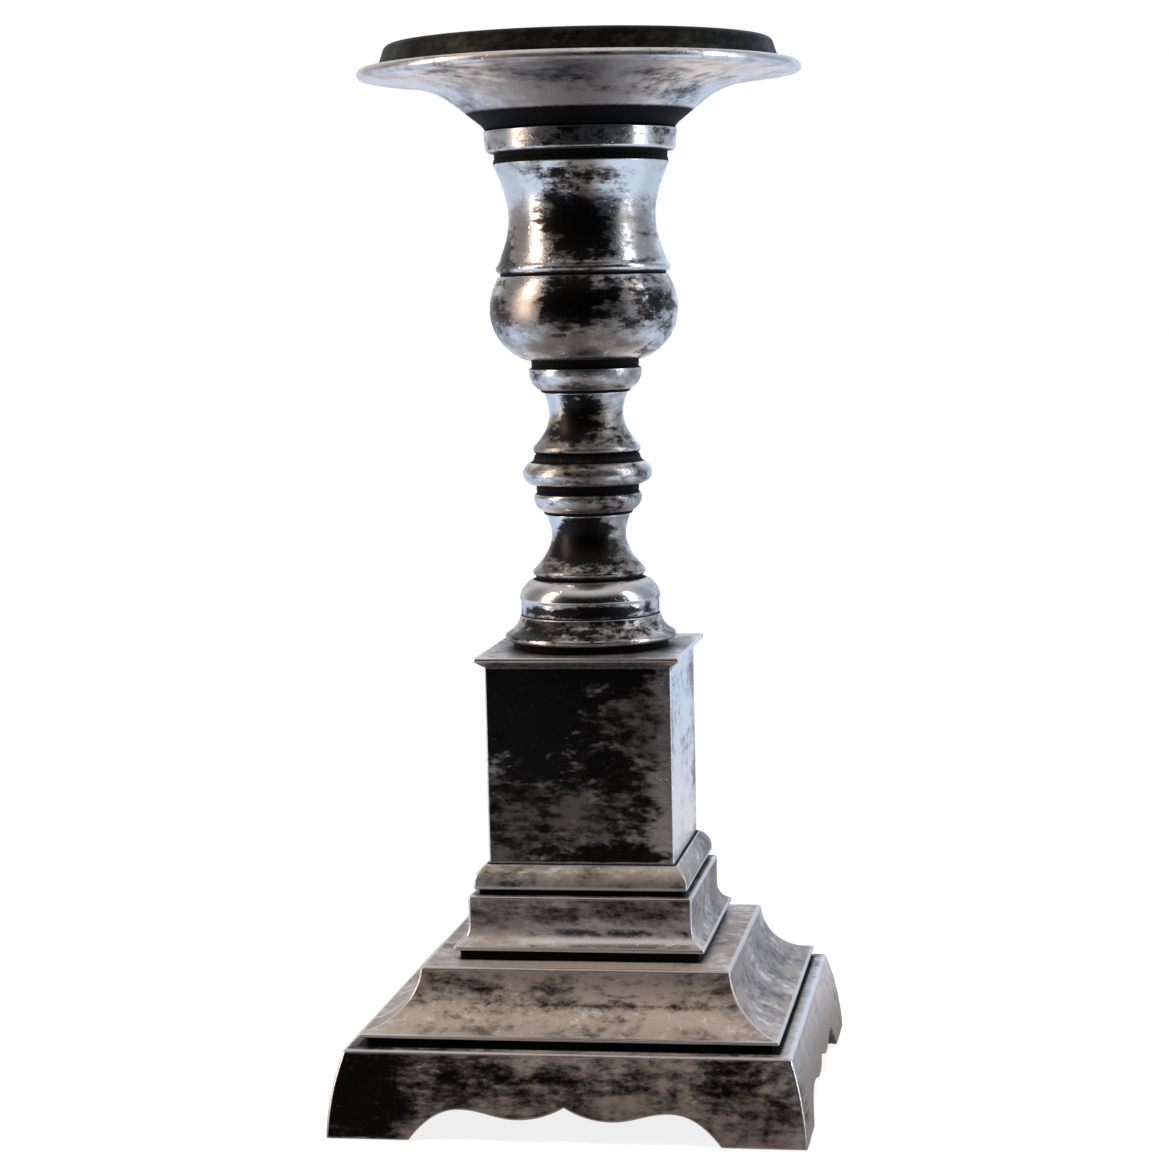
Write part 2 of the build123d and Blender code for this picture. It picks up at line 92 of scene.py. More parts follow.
def spline_through(knots: np.ndarray, step: float) -> np.ndarray:
    """Natural cubic spline through the knots, measured by chord length.

    The second derivatives m solve h[i-1] m[i-1] + 2 (h[i-1] + h[i]) m[i] + h[i] m[i+1] =
    6 (slope[i] - slope[i-1]), with m = 0 at both ends.

    Args:
        knots: the points that it passes through.
        step: the spacing of the points that it returns.

    Returns:
        Points along the curve, without the first knot.
    """
    chord = np.linalg.norm(np.diff(knots, axis=0), axis=1)
    at = np.concatenate(([0.0], np.cumsum(chord)))
    slope = np.diff(knots, axis=0) / chord[:, None]
    system = np.eye(len(knots))
    inner = np.arange(1, len(knots) - 1)
    system[inner, inner - 1] = chord[:-1]
    system[inner, inner] = 2.0 * (chord[:-1] + chord[1:])
    system[inner, inner + 1] = chord[1:]
    right = np.zeros_like(knots)
    right[1:-1] = 6.0 * np.diff(slope, axis=0)
    bend = np.linalg.solve(system, right)
    place = np.linspace(0.0, at[-1], max(2, int(at[-1] / step)) + 1)[1:]
    span = np.clip(np.searchsorted(at, place) - 1, 0, len(chord) - 1)
    width = chord[span][:, None]
    ahead = (at[span + 1] - place)[:, None]
    past = (place - at[span])[:, None]
    cubic = (bend[span] * ahead**3 + bend[span + 1] * past**3) / (6.0 * width)
    first = (knots[span] / width - bend[span] * width / 6.0) * ahead
    second = (knots[span + 1] / width - bend[span + 1] * width / 6.0) * past
    return cubic + first + second


@dataclass(frozen=True)
class Section:
    """A sampled outline: one value of each kind for each ring of the surface."""

    reach: np.ndarray
    height: np.ndarray
    edge: np.ndarray
    grime_and_shade: np.ndarray
    outward: np.ndarray


class Outline:
    """Closed outline of a tier, as (distance from the axis, height) in millimetres."""

    STEP = 0.05
    TURN_POINTS = 3.2
    EDGE_SPREAD = 0.16
    EDGE_GAIN = 0.42
    SHELF_GRIME = 0.25

    def __init__(self, start: Point, low: float = 0.0) -> None:
        """Starts the outline.

        Args:
            start: the first point.
            low: the height that is added to every point.
        """
        self.low = low
        self._points = [np.array([start], float)]
        self._grime_and_shade = [np.zeros(1)]

    def _add(self, run: np.ndarray, grime_and_shade: float) -> "Outline":
        """Adds a run of points that all hold the same grime."""
        self._points.append(run)
        self._grime_and_shade.append(np.full(len(run), grime_and_shade))
        return self

    def line(self, *points: Point, grime_and_shade: float = 0.0) -> "Outline":
        """Adds straight runs.

        Args:
            points: the end of each run.
            grime_and_shade: soiling and painted shade on the runs, from 0 to 1.

        Returns:
            The outline, so that calls can follow one another.
        """
        for point in points:
            start = self._points[-1][-1]
            count = max(2, int(np.linalg.norm(np.subtract(point, start)) / self.STEP))
            share = np.linspace(0.0, 1.0, count + 1)[1:, None]
            self._add(start + (np.array(point, float) - start) * share, grime_and_shade)
        return self

    def arc(self, middle: Point, end: Point, grime_and_shade: float = 0.0) -> "Outline":
        """Adds the circular arc through the last point, middle and end.

        Args:
            middle: a point that the arc passes through.
            end: where it stops.
            grime_and_shade: soiling and painted shade on the arc, from 0 to 1.

        Returns:
            The outline.
        """
        a, b, c = self._points[-1][-1], np.array(middle, float), np.array(end, float)
        centre = np.linalg.solve(2.0 * np.array([b - a, c - a]), [b @ b - a @ a, c @ c - a @ a])
        radius = np.linalg.norm(a - centre)
        first, last = (math.atan2(*(p - centre)[::-1]) for p in (a, c))
        left_turn = (b - a)[0] * (c - b)[1] - (b - a)[1] * (c - b)[0] > 0.0
        full = 2.0 * math.pi
        sweep = (last - first) % full if left_turn else -((first - last) % full)
        count = max(3, int(radius * abs(sweep) / self.STEP))
        angle = first + sweep * np.linspace(0.0, 1.0, count + 1)[1:]
        return self._add(centre + radius * np.column_stack([np.cos(angle), np.sin(angle)]), grime_and_shade)

    def curve(self, *points: Point, grime_and_shade: float = 0.0) -> "Outline":
        """Adds a smooth curve from the last point through the given ones.

        Args:
            points: the points that it passes through.
            grime_and_shade: soiling and painted shade on the curve, from 0 to 1.

        Returns:
            The outline.
        """
        knots = np.vstack([self._points[-1][-1:], np.array(points, float)])
        return self._add(spline_through(knots, self.STEP), grime_and_shade)

    def sampled(self, wear: float = 0.14, spacing: float = 1.0) -> Section:
        """Rounds the corners by wear and picks points, closer where the outline turns.

        The picking density is 1 / spacing + TURN_POINTS times the curvature. A convex corner
        gives an edge value, and a run that faces up collects a little dust in grime_and_shade.

        Args:
            wear: the standard deviation of the smoothing that rounds corners, in millimetres.
            spacing: the widest distance between two points, in millimetres.

        Returns:
            The sampled outline.
        """
        points = np.vstack(self._points + [self._points[0]])
        grime_and_shade = np.concatenate(self._grime_and_shade + [self._grime_and_shade[-1][-1:]])
        strides = np.linalg.norm(np.diff(points, axis=0), axis=1)
        walked = np.concatenate(([0.0], np.cumsum(strides)))
        count = int(walked[-1] / self.STEP)
        step = walked[-1] / count
        place = np.arange(count) * step
        dense = np.column_stack([np.interp(place, walked, points[:, k]) for k in (0, 1)])
        dense = blur(dense, wear, step)
        grime_and_shade = blur(np.interp(place, walked, grime_and_shade), wear, step)
        ahead = np.roll(dense, -1, axis=0) - np.roll(dense, 1, axis=0)
        heading = np.arctan2(ahead[:, 1], ahead[:, 0])
        turn = np.roll(heading, -1) - np.roll(heading, 1)
        turn = (turn + math.pi) % (2.0 * math.pi) - math.pi
        side = np.sign(turn.sum())
        bend = side * turn / (2.0 * step)
        edge = blur(np.clip(bend, 0.0, None), self.EDGE_SPREAD, step) * self.EDGE_GAIN
        edge = np.clip(edge, 0.0, 1.0)
        facing = side * np.column_stack([np.sin(heading), -np.cos(heading)])
        shelf = np.clip(facing[:, 1], 0.0, 1.0) ** 6
        weight = step * (1.0 / spacing + self.TURN_POINTS * np.abs(bend))
        total = np.cumsum(weight)
        picked = np.linspace(0.0, total[-1], int(total[-1]), endpoint=False)

        def pick(values: np.ndarray) -> np.ndarray:
            """Values at the picked places."""
            return np.interp(picked, total, values)

        return Section(
            reach=np.maximum(pick(dense[:, 0]), 0.0),
            height=pick(dense[:, 1]) + self.low,
            edge=pick(edge),
            grime_and_shade=np.clip(pick(grime_and_shade) + self.SHELF_GRIME * pick(shelf), 0.0, 1.0),
            outward=pick(facing[:, 0]),
        )


# ------------------------------------------------------------------ surfaces


@dataclass(frozen=True)
class Ripple:
    """Unevenness of hand work: a sum of a few waves in random directions.

    The value at p is the mean over k of cos(p . d[k] + phase[k]), times the depth, where the
    wavelengths lie between the shortest and the longest.
    """

    depth: float
    shortest: float = 7.0
    longest: float = 38.0
    waves: int = 9
    seed: int = SEED

    def at(self, grid: np.ndarray) -> np.ndarray:
        """Height of the unevenness, in millimetres.

        Args:
            grid: points in millimetres, with the coordinates last.

        Returns:
            One value for each point.
        """
        random = np.random.default_rng(self.seed)
        ways = random.normal(size=(self.waves, 3))
        ways /= np.linalg.norm(ways, axis=1)[:, None]
        ways *= (2.0 * math.pi / random.uniform(self.shortest, self.longest, self.waves))[:, None]
        phase = random.uniform(0.0, 2.0 * math.pi, self.waves)
        return self.depth * np.cos(grid @ ways.T + phase).mean(axis=-1) * math.sqrt(self.waves)


@dataclass(frozen=True)
class Patch:
    """A soft spot where a mark is stronger: amount exp(-|(p - centre) / spread|^2)."""

    mark: str
    centre: tuple[float, float, float]
    spread: tuple[float, float, float]
    amount: float

    def at(self, grid: np.ndarray) -> np.ndarray:
        """Strength of the spot at each point of a grid in millimetres."""
        away = (grid - np.array(self.centre)) / np.array(self.spread)
        return self.amount * np.exp(-(away**2).sum(axis=-1))


def add_object(name: str, data: bpy.types.ID) -> bpy.types.Object:
    """Makes an object of a mesh, a light or a camera, and links it to the scene."""
    made = bpy.data.objects.new(name, data)
    bpy.context.scene.collection.objects.link(made)
    return made


@dataclass
class Surface:
    """A closed grid of points, ring by ring, with the marks that the finishes read."""

    grid: np.ndarray
    marks: dict[str, np.ndarray]
    poles: bool = False

    def __post_init__(self) -> None:
        """Gives every point a value for each mark."""
        for name in MARKS:
            given = self.marks.get(name, 0.0)
            self.marks[name] = np.broadcast_to(given, self.grid.shape[:2]).astype(float)

    def spot(self, *patches: Patch) -> None:
        """Adds soft spots to the marks."""
        for patch in patches:
            self.marks[patch.mark] += patch.at(self.grid)

    def corners(self) -> np.ndarray:
        """Corner numbers of the quads, which wrap round both ways unless there are poles."""
        rings, around = self.grid.shape[:2]
        ring = np.arange(rings - 1 if self.poles else rings)[:, None]
        step = np.arange(around)[None, :]
        after, beside = (ring + 1) % rings, (step + 1) % around
        quads = [ring * around + step, ring * around + beside]
        quads += [after * around + beside, after * around + step]
        return np.stack([np.broadcast_to(q, (len(ring), around)) for q in quads], -1).reshape(-1, 4)

    def build(self, name: str) -> bpy.types.Object:
        """Makes the mesh object, in metres, with its faces turned outwards.

        Args:
            name: the object's name.

        Returns:
            The new object, linked to the scene.
        """
        rings, around = self.grid.shape[:2]
        points = self.grid.reshape(-1, 3) * MM
        quads = self.corners()
        fans = np.zeros((0, 3), int)
        values = {key: value.reshape(-1) for key, value in self.marks.items()}
        if self.poles:
            tips = self.grid[[0, -1]].mean(axis=1) * MM
            step = np.arange(around)
            beside = (step + 1) % around
            last = (rings - 1) * around
            start = np.column_stack([np.full(around, len(points)), beside, step])
            end = np.column_stack([np.full(around, len(points) + 1), last + step, last + beside])
            fans = np.vstack([start, end])
            points = np.vstack([points, tips])
            values = {key: np.append(v, [v[0], v[-1]]) for key, v in values.items()}
        triangles = np.vstack([quads[:, [0, 1, 2]], quads[:, [0, 2, 3]], fans])
        a, b, c = (points[triangles[:, k]] for k in range(3))
        if np.einsum("ij,ij->", a, np.cross(b, c)) < 0.0:
            quads, fans = quads[:, ::-1], fans[:, ::-1]
        mesh = bpy.data.meshes.new(name)
        loops = np.concatenate([quads.reshape(-1), fans.reshape(-1)]).astype(np.int32)
        corners = np.repeat([4, 3], [len(quads), len(fans)])
        starts = np.cumsum(corners) - corners
        mesh.vertices.add(len(points))
        mesh.vertices.foreach_set("co", points.astype(np.float32).reshape(-1))
        mesh.loops.add(len(loops))
        mesh.loops.foreach_set("vertex_index", loops)
        mesh.polygons.add(len(starts))
        mesh.polygons.foreach_set("loop_start", starts.astype(np.int32))
        mesh.update(calc_edges=True)
        mesh.polygons.foreach_set("use_smooth", np.ones(len(starts), bool))
        for key, value in values.items():
            layer = mesh.attributes.new(key, "FLOAT", "POINT")
            layer.data.foreach_set("value", value.astype(np.float32))
        mesh.validate()
        return add_object(name, mesh)


def turned(section: Section, around: int, ripple: Ripple) -> Surface:
    """Carries an outline round the axis: (r cos t, r sin t, z), with r a little uneven.

    Args:
        section: the outline; where it touches the axis the surface closes at a pole.
        around: the number of points round the axis.
        ripple: the unevenness of the radius.

    Returns:
        The surface.
    """
    reach, height, edge, grime_and_shade = section.reach, section.height, section.edge, section.grime_and_shade
    poles = bool(reach.min() < POLE_REACH)
    if poles:
        away = np.flatnonzero(reach >= POLE_REACH)
        start = away[np.argmax(np.diff(away, prepend=away[-1] - len(reach)))]
        order = (start + np.arange(len(away))) % len(reach)
        reach, height, edge, grime_and_shade = (v[order] for v in (reach, height, edge, grime_and_shade))
    angle = 2.0 * math.pi * np.arange(around) / around
    shape = (len(reach), around)
    level = np.broadcast_to(height[:, None], shape)
    plain = np.stack([reach[:, None] * np.cos(angle), reach[:, None] * np.sin(angle), level], -1)
    uneven = reach[:, None] + ripple.at(plain) * np.minimum(1.0, reach[:, None] / 6.0)
    grid = np.stack([uneven * np.cos(angle), uneven * np.sin(angle), level], -1)
    return Surface(grid, {"edge": edge[:, None], "grime_and_shade": grime_and_shade[:, None]}, poles)


@dataclass(frozen=True)
class SquareLoop:
    """A square path with rounded corners: four sides, each followed by a quarter circle."""

    marks: tuple[float, ...]
    corner_steps: int = 7

    @staticmethod
    def even(half: float, spacing: float = 1.1, corner_steps: int = 7) -> "SquareLoop":
        """A loop whose side points are evenly spaced.

        Args:
            half: half the side, in millimetres.
            spacing: the distance between side points, in millimetres.
            corner_steps: points in each corner.

        Returns:
            The loop.
        """
        count = 2 * int(half / spacing) + 1
        return SquareLoop(tuple(np.linspace(-1.0, 1.0, count)), corner_steps)

    def bends(self) -> np.ndarray:
        """Angles of the points in one corner."""
        return np.linspace(0.0, math.pi / 2.0, self.corner_steps + 2)[1:-1]

    def points(self, half: np.ndarray, radius: np.ndarray) -> tuple[np.ndarray, np.ndarray]:
        """Places the loop for each ring.

        Args:
            half: half the side of each ring.
            radius: the corner radius of each ring.

        Returns:
            The (x, y) of each point, and the outward direction of each column.
        """
        marks = np.array(self.marks)
        bend = self.bends()
        flat, round_ = (half - radius)[:, None], radius[:, None]
        x = np.hstack([flat * marks, flat + round_ * np.sin(bend)])
        y = np.hstack([np.repeat(-half[:, None], len(marks), 1), -flat - round_ * np.cos(bend)])
        out_x = np.concatenate([np.zeros(len(marks)), np.sin(bend)])
        out_y = np.concatenate([-np.ones(len(marks)), -np.cos(bend)])
        turns = [(1, 0), (0, 1), (-1, 0), (0, -1)]
        places = [np.stack([c * x - s * y, s * x + c * y], -1) for c, s in turns]
        ways = [np.stack([c * out_x - s * out_y, s * out_x + c * out_y], -1) for c, s in turns]
        return np.concatenate(places, 1), np.concatenate(ways, 0)

    def corner_share(self) -> np.ndarray:
        """How far each column is into a corner: 0 on a side and 1 in the middle of a corner."""
        one_side = np.concatenate([np.zeros(len(self.marks)), np.sin(2.0 * self.bends()) ** 0.5])
        return np.tile(one_side, 4)


def squared(
    section: Section, loop: SquareLoop, ripple: Ripple, corner: float = 0.55, bore: float = 0.0
) -> Surface:
    """Carries an outline round a square with worn corners, or a round bore near the axis.

    Args:
        section: the outline, with half the side as its reach.
        loop: the square path.
        ripple: the unevenness of the faces.
        corner: the corner radius, in millimetres.
        bore: rings no wider than this are circles.

    Returns:
        The surface.
    """
    half = section.reach
    round_rings = half <= bore + 0.2
    radius = np.where(round_rings, half, np.minimum(corner, half))
    places, ways = loop.points(half, radius)
    level = np.broadcast_to(section.height[:, None], places.shape[:2])
    grid = np.concatenate([places, level[..., None]], -1)
    outer = np.clip(section.outward, 0.0, 1.0)[:, None]
    lift = ripple.at(grid)
    grid[..., :2] += (lift * outer)[..., None] * ways
    grid[..., 2] += 0.4 * lift * (1.0 - outer) * ~round_rings[:, None]
    edge = np.maximum(section.edge[:, None], loop.corner_share() * outer)
    return Surface(grid, {"edge": edge, "grime_and_shade": section.grime_and_shade[:, None]})


# ------------------------------------------------------------------ shader nodes


class Sheet:
    """Places nodes in one node tree and joins them."""

    def __init__(self, tree: bpy.types.NodeTree) -> None:
        """Keeps the tree."""
        self.tree = tree

    def node(self, kind: str, inputs: dict | None = None, **settings: object) -> bpy.types.Node:
        """Adds a node.

        Args:
            kind: the node's type, without the ShaderNode prefix.
            inputs: a value or a socket for each named or numbered input.
            settings: the node's own properties.

        Returns:
            The node.
        """
        made = self.tree.nodes.new("ShaderNode" + kind)
        for key, value in settings.items():
            setattr(made, key, value)
        for key, value in (inputs or {}).items():
            self.feed(made.inputs[key], value)
        return made

    def feed(self, socket: bpy.types.NodeSocket, value: object) -> None:
        """Joins a socket to another, or sets its value."""
        if isinstance(value, bpy.types.NodeSocket):
            self.tree.links.new(value, socket)
        elif socket.type == "RGBA" and len(value) == 3:
            socket.default_value = (*value, 1.0)
        else:
            socket.default_value = value

    def sum(self, *terms: tuple[float, object]) -> object:
        """Weighted sum of sockets or numbers.

        Args:
            terms: pairs of a weight and a value.

        Returns:
            The last sum's socket.
        """
        total: object = 0.0
        for weight, value in terms:
            inputs = {0: value, 1: weight, 2: total}
            total = self.node("Math", inputs, operation="MULTIPLY_ADD").outputs[0]
        return total

    def times(self, first: object, second: object) -> bpy.types.NodeSocket:
        """Product of two values."""
        return self.node("Math", {0: first, 1: second}, operation="MULTIPLY").outputs[0]

    def ramp(self, value: object, low: object, high: object) -> bpy.types.NodeSocket:
        """Smooth step of value from 0 at low to 1 at high."""
        inputs = {"Value": value, "From Min": low, "From Max": high}
        return self.node("MapRange", inputs, interpolation_type="SMOOTHSTEP").outputs[0]

    def value_mix(self, share: object, first: object, second: object) -> bpy.types.NodeSocket:
        """Value between first and second."""
        inputs = {0: share, 2: first, 3: second}
        return self.node("Mix", inputs, data_type="FLOAT").outputs[0]

    def colour_mix(self, share: object, first: object, second: object) -> bpy.types.NodeSocket:
        """Colour between first and second."""
        inputs = {0: share, 6: first, 7: second}
        return self.node("Mix", inputs, data_type="RGBA").outputs[2]

    def stretched(self, vector: object, scale: tuple, turn: tuple = (0, 0, 0)) -> object:
        """Vector turned and then scaled, by a Mapping node that works backwards."""
        inverse = tuple(1.0 / factor for factor in scale)
        inputs = {"Vector": vector, "Scale": inverse, "Rotation": turn}
        return self.node("Mapping", inputs, vector_type="TEXTURE").outputs[0]

    def noise(self, vector: object, scale: object, detail: float, rough: float) -> object:
        """Fractal noise between 0 and 1."""
        inputs = {"Vector": vector, "Scale": scale, "Detail": detail, "Roughness": rough}
        return self.node("TexNoise", inputs).outputs[0]

    def attribute(self, name: str) -> bpy.types.NodeSocket:
        """A value that the mesh carries."""
        return self.node("Attribute", attribute_name=name).outputs["Fac"]

    def group(self, tree: bpy.types.NodeTree, inputs: dict) -> bpy.types.Node:
        """Adds a node group with its own values."""
        made = self.tree.nodes.new("ShaderNodeGroup")
        made.node_tree = tree
        for key, value in inputs.items():
            self.feed(made.inputs[key], value)
        return made


def new_group(name: str, takes: dict[str, str], gives: dict[str, str]) -> tuple:
    """Starts a shader node group.

    Args:
        name: the group's name.
        takes: input names with their kinds, Float, Vector or Color.
        gives: output names with their kinds.

    Returns:
        The tree, its sheet, its input node and its output node.
    """
    tree = bpy.data.node_groups.new(name, "ShaderNodeTree")
    for names, way in ((takes, "INPUT"), (gives, "OUTPUT")):
        for key, kind in names.items():
            tree.interface.new_socket(key, in_out=way, socket_type="NodeSocket" + kind)
    ends = (tree.nodes.new("NodeGroup" + way) for way in ("Input", "Output"))
    return (tree, Sheet(tree), *ends)


def fresh_sheet(owner: bpy.types.Material | bpy.types.World) -> Sheet:
    """Sheet of a material's or a world's node tree, once it is emptied."""
    owner.use_nodes = True
    owner.node_tree.nodes.clear()
    return Sheet(owner.node_tree)


# Noise in the patina: weight, stretch, how much finer than the scale, detail and roughness.
PATINA_LAYERS = (
    (0.45, (0.8, 0.8, 1.25), 1.0, 6.0, 0.62),
    (0.38, (0.75, 0.75, 1.5), 4.3, 6.0, 0.72),
    (0.17, (0.35, 0.35, 3.0), 1.9, 5.0, 0.6),
)


def patina_group() -> bpy.types.NodeTree:
    """Blotches of tarnish: coarse, fine and streaked noise, weighed and cut at a level."""
    takes = {"Vector": "Vector", "Scale": "Float", "Level": "Float", "Softness": "Float"}
    tree, sheet, given, result = new_group("patina", takes | {"Bias": "Float"}, {"Mask": "Float"})
    vector, scale = given.outputs["Vector"], given.outputs["Scale"]
    layers = []
    for weight, stretch, finer, detail, rough in PATINA_LAYERS:
        size = sheet.times(scale, finer)
        layers.append((weight, sheet.noise(sheet.stretched(vector, stretch), size, detail, rough)))
    total = sheet.sum(*layers, (1.0, given.outputs["Bias"]))
    level, softness = given.outputs["Level"], given.outputs["Softness"]
    ends = [sheet.sum((1.0, level), (side, softness)) for side in (-1.0, 1.0)]
    sheet.feed(result.inputs["Mask"], sheet.ramp(total, *ends))
    return tree


def scratch_group() -> bpy.types.NodeTree:
    """Fine lines of polishing: level ones all over, and a few slanting ones."""
    takes = {"Vector": "Vector", "Scale": "Float"}
    tree, sheet, given, result = new_group("scratches", takes, {"Lines": "Float", "Marks": "Float"})
    vector, scale = given.outputs["Vector"], given.outputs["Scale"]
    level = sheet.noise(sheet.stretched(vector, (0.12, 0.12, 9.0)), scale, 3.0, 0.7)
    marks = []
    for turn in ((0.5, 1.1, 0.3), (-0.9, 0.7, 0.9)):
        slant = sheet.stretched(vector, (6.0, 6.0, 0.3), turn)
        lines = sheet.noise(slant, sheet.times(scale, 0.5), 1.0, 0.5)
        marks.append((0.6, sheet.ramp(lines, 0.69, 0.76)))
    sheet.feed(result.inputs["Lines"], level)
    sheet.feed(result.inputs["Marks"], sheet.sum(*marks))
    return tree


def wear_group() -> bpy.types.NodeTree:
    """Edges rubbed bright: the edge value, broken up by noise."""
    takes = {"Vector": "Vector", "Edge": "Float", "Amount": "Float"}
    tree, sheet, given, result = new_group("worn_edges", takes, {"Mask": "Float"})
    breaks = sheet.noise(given.outputs["Vector"], 260.0, 4.0, 0.65)
    worn = sheet.times(given.outputs["Edge"], given.outputs["Amount"])
    total = sheet.sum((1.0, worn), (0.9, breaks), (-0.45, 1.0))
    mask = sheet.times(sheet.ramp(total, 0.3, 0.85), sheet.ramp(worn, 0.02, 0.3))
    sheet.feed(result.inputs["Mask"], mask)
    return tree


def grain_group() -> bpy.types.NodeTree:
    """Small pits and crust, for roughness and relief."""
    takes = {"Vector": "Vector", "Scale": "Float"}
    tree, sheet, given, result = new_group("grain", takes, {"Pits": "Float", "Crust": "Float"})
    vector, scale = given.outputs["Vector"], given.outputs["Scale"]
    cells = sheet.node("TexVoronoi", {"Vector": vector, "Scale": scale}, feature="F1")
    seldom = sheet.ramp(sheet.noise(vector, sheet.times(scale, 0.23), 2.0, 0.5), 0.55, 0.7)
    pits = sheet.times(sheet.ramp(cells.outputs["Distance"], 0.32, 0.08), seldom)
    sheet.feed(result.inputs["Pits"], pits)
    sheet.feed(result.inputs["Crust"], sheet.noise(vector, sheet.times(scale, 1.7), 6.0, 0.75))
    return tree


class Effects(Enum):
    """The shared node groups, by name."""

    PATINA = "patina"
    SCRATCHES = "scratches"
    WORN_EDGES = "worn_edges"
    GRAIN = "grain"

    @property
    def tree(self) -> bpy.types.NodeTree:
        """The group's node tree, built the first time that it is asked for."""
        makers = {
            Effects.PATINA: patina_group,
            Effects.SCRATCHES: scratch_group,
            Effects.WORN_EDGES: wear_group,
            Effects.GRAIN: grain_group,
        }
        return bpy.data.node_groups.get(self.value) or makers[self]()


# ------------------------------------------------------------------ finishes


@dataclass(frozen=True)
class OldMetal:
    """Worn metal: clean metal, brown film, black patina, soiling and painted shade in the joints, and
    rubbed edges.
    """

    name: str
    clean: Colour = (0.67, 0.635, 0.61)
    film: Colour = (0.22, 0.18, 0.15)
    brown: Colour = (0.045, 0.032, 0.022)
    black: Colour = (0.005, 0.0045, 0.004)
    rubbed: Colour = (0.76, 0.71, 0.68)
    scale: float = 95.0
    level: float = 0.53
    softness: float = 0.05
    film_level: float = 0.5
    film_softness: float = 0.09
    gloss: float = 0.2
    dull: float = 0.5
    metal_in_film: float = 0.8
    lines: float = 0.12
    relief: float = 0.3
    rub: float = 1.0
    film_cover: float = 0.85
    patina_cover: float = 0.985
    worn_cover: float = 0.75
    marks_on_metal: float = 0.22
    marks_on_patina: float = 0.05
    metal_in_patina: float = 0.9
    metal_in_dirt_and_shade: float = 0.85
    dirt_and_shade_rough: float = 0.75
    bump_depth: float = 0.00025

    def build(self) -> bpy.types.Material:
        """Makes the material.

        Returns:
            The material, which reads object coordinates and the marks on the mesh.
        """
        material = bpy.data.materials.new(self.name)
        sheet = fresh_sheet(material)
        place = sheet.node("TexCoord").outputs["Object"]
        shift = sheet.node("Mapping", {"Vector": place, "Location": (3.1, 1.7, 2.3)}).outputs[0]
        patina, film, speckle = self.layers(sheet, place, shift)
        scratch = sheet.group(Effects.SCRATCHES.tree, {"Vector": place, "Scale": 420.0})
        grain = sheet.group(Effects.GRAIN.tree, {"Vector": place, "Scale": 900.0})
        crust, pits = grain.outputs["Crust"], grain.outputs["Pits"]
        # The mesh's soiling-and-shade mark plus crust noise: high in gaps, joints and hollows, where it
        # paints shade and soiling black and rough.
        grime_and_shade = sheet.sum((1.0, sheet.attribute("grime_and_shade")), (0.5, crust), (-0.25, 1.0))
        dirt_and_shade = sheet.ramp(grime_and_shade, 0.2, 0.75)
        wear = {"Vector": place, "Edge": sheet.attribute("edge"), "Amount": self.rub}
        worn = sheet.group(Effects.WORN_EDGES.tree, wear).outputs["Mask"]
        worn = sheet.times(worn, sheet.sum((1.0, 1.0), (-1.0, dirt_and_shade)))

        colour = sheet.colour_mix(sheet.times(film, self.film_cover), self.clean, self.film)
        dark = sheet.colour_mix(speckle, self.black, self.brown)
        colour = sheet.colour_mix(sheet.times(patina, self.patina_cover), colour, dark)
        shown = sheet.value_mix(patina, self.marks_on_metal, self.marks_on_patina)
        marks = sheet.times(scratch.outputs["Marks"], shown)
        colour = sheet.colour_mix(marks, colour, self.rubbed)
        # Painted shade and soiling: the colour goes black in gaps, joints and hollows.
        colour = sheet.colour_mix(dirt_and_shade, colour, self.black)
        colour = sheet.colour_mix(sheet.times(worn, self.worn_cover), colour, self.rubbed)

        rough = sheet.sum((1.0, self.gloss), (0.2, film), (0.12, crust), (-0.06, 1.0))
        rough = sheet.value_mix(patina, rough, self.dull)
        rough = sheet.value_mix(dirt_and_shade, rough, self.dirt_and_shade_rough)
        rough = sheet.value_mix(sheet.times(worn, 0.6), rough, self.gloss + 0.06)
        metal = sheet.value_mix(film, 1.0, self.metal_in_film)
        metal = sheet.value_mix(patina, metal, self.metal_in_patina)
        metal = sheet.value_mix(dirt_and_shade, metal, self.metal_in_dirt_and_shade)
        metal = sheet.value_mix(worn, metal, 1.0)

        height = sheet.sum(
            (self.lines, scratch.outputs["Lines"]),
            (-0.3, scratch.outputs["Marks"]),
            (-0.8, pits),
            (0.35, sheet.times(patina, crust)),
            (0.5, sheet.noise(place, 130.0, 2.0, 0.5)),
        )
        bump = {"Height": height, "Strength": self.relief, "Distance": self.bump_depth}
        inputs = {"Base Color": colour, "Roughness": rough, "Metallic": metal}
        inputs["Normal"] = sheet.node("Bump", bump).outputs[0]
        shader = sheet.node("BsdfPrincipled", inputs)
        sheet.node("OutputMaterial", {"Surface": shader.outputs[0]})
        return material

    def layers(self, sheet: Sheet, place: object, shift: object) -> tuple:
        """Masks of the black patina, the brown film, and the brown specks in the patina.

        Args:
            sheet: the material's nodes.
            place: object coordinates.
            shift: the same coordinates, moved away so that the masks differ.

        Returns:
            The three masks.
        """
        group = Effects.PATINA.tree
        black = {"Vector": place, "Scale": self.scale, "Level": self.level}
        black |= {"Softness": self.softness, "Bias": sheet.attribute("tarnish")}
        brown = {"Vector": shift, "Scale": self.scale * 0.8, "Level": self.film_level}
        brown |= {"Softness": self.film_softness, "Bias": sheet.attribute("film")}
        specks = {"Vector": shift, "Scale": self.scale * 3.4, "Level": 0.52, "Softness": 0.07}
        specks |= {"Bias": sheet.times(sheet.attribute("tarnish"), -1.0)}
        return tuple(sheet.group(group, row).outputs["Mask"] for row in (black, brown, specks))


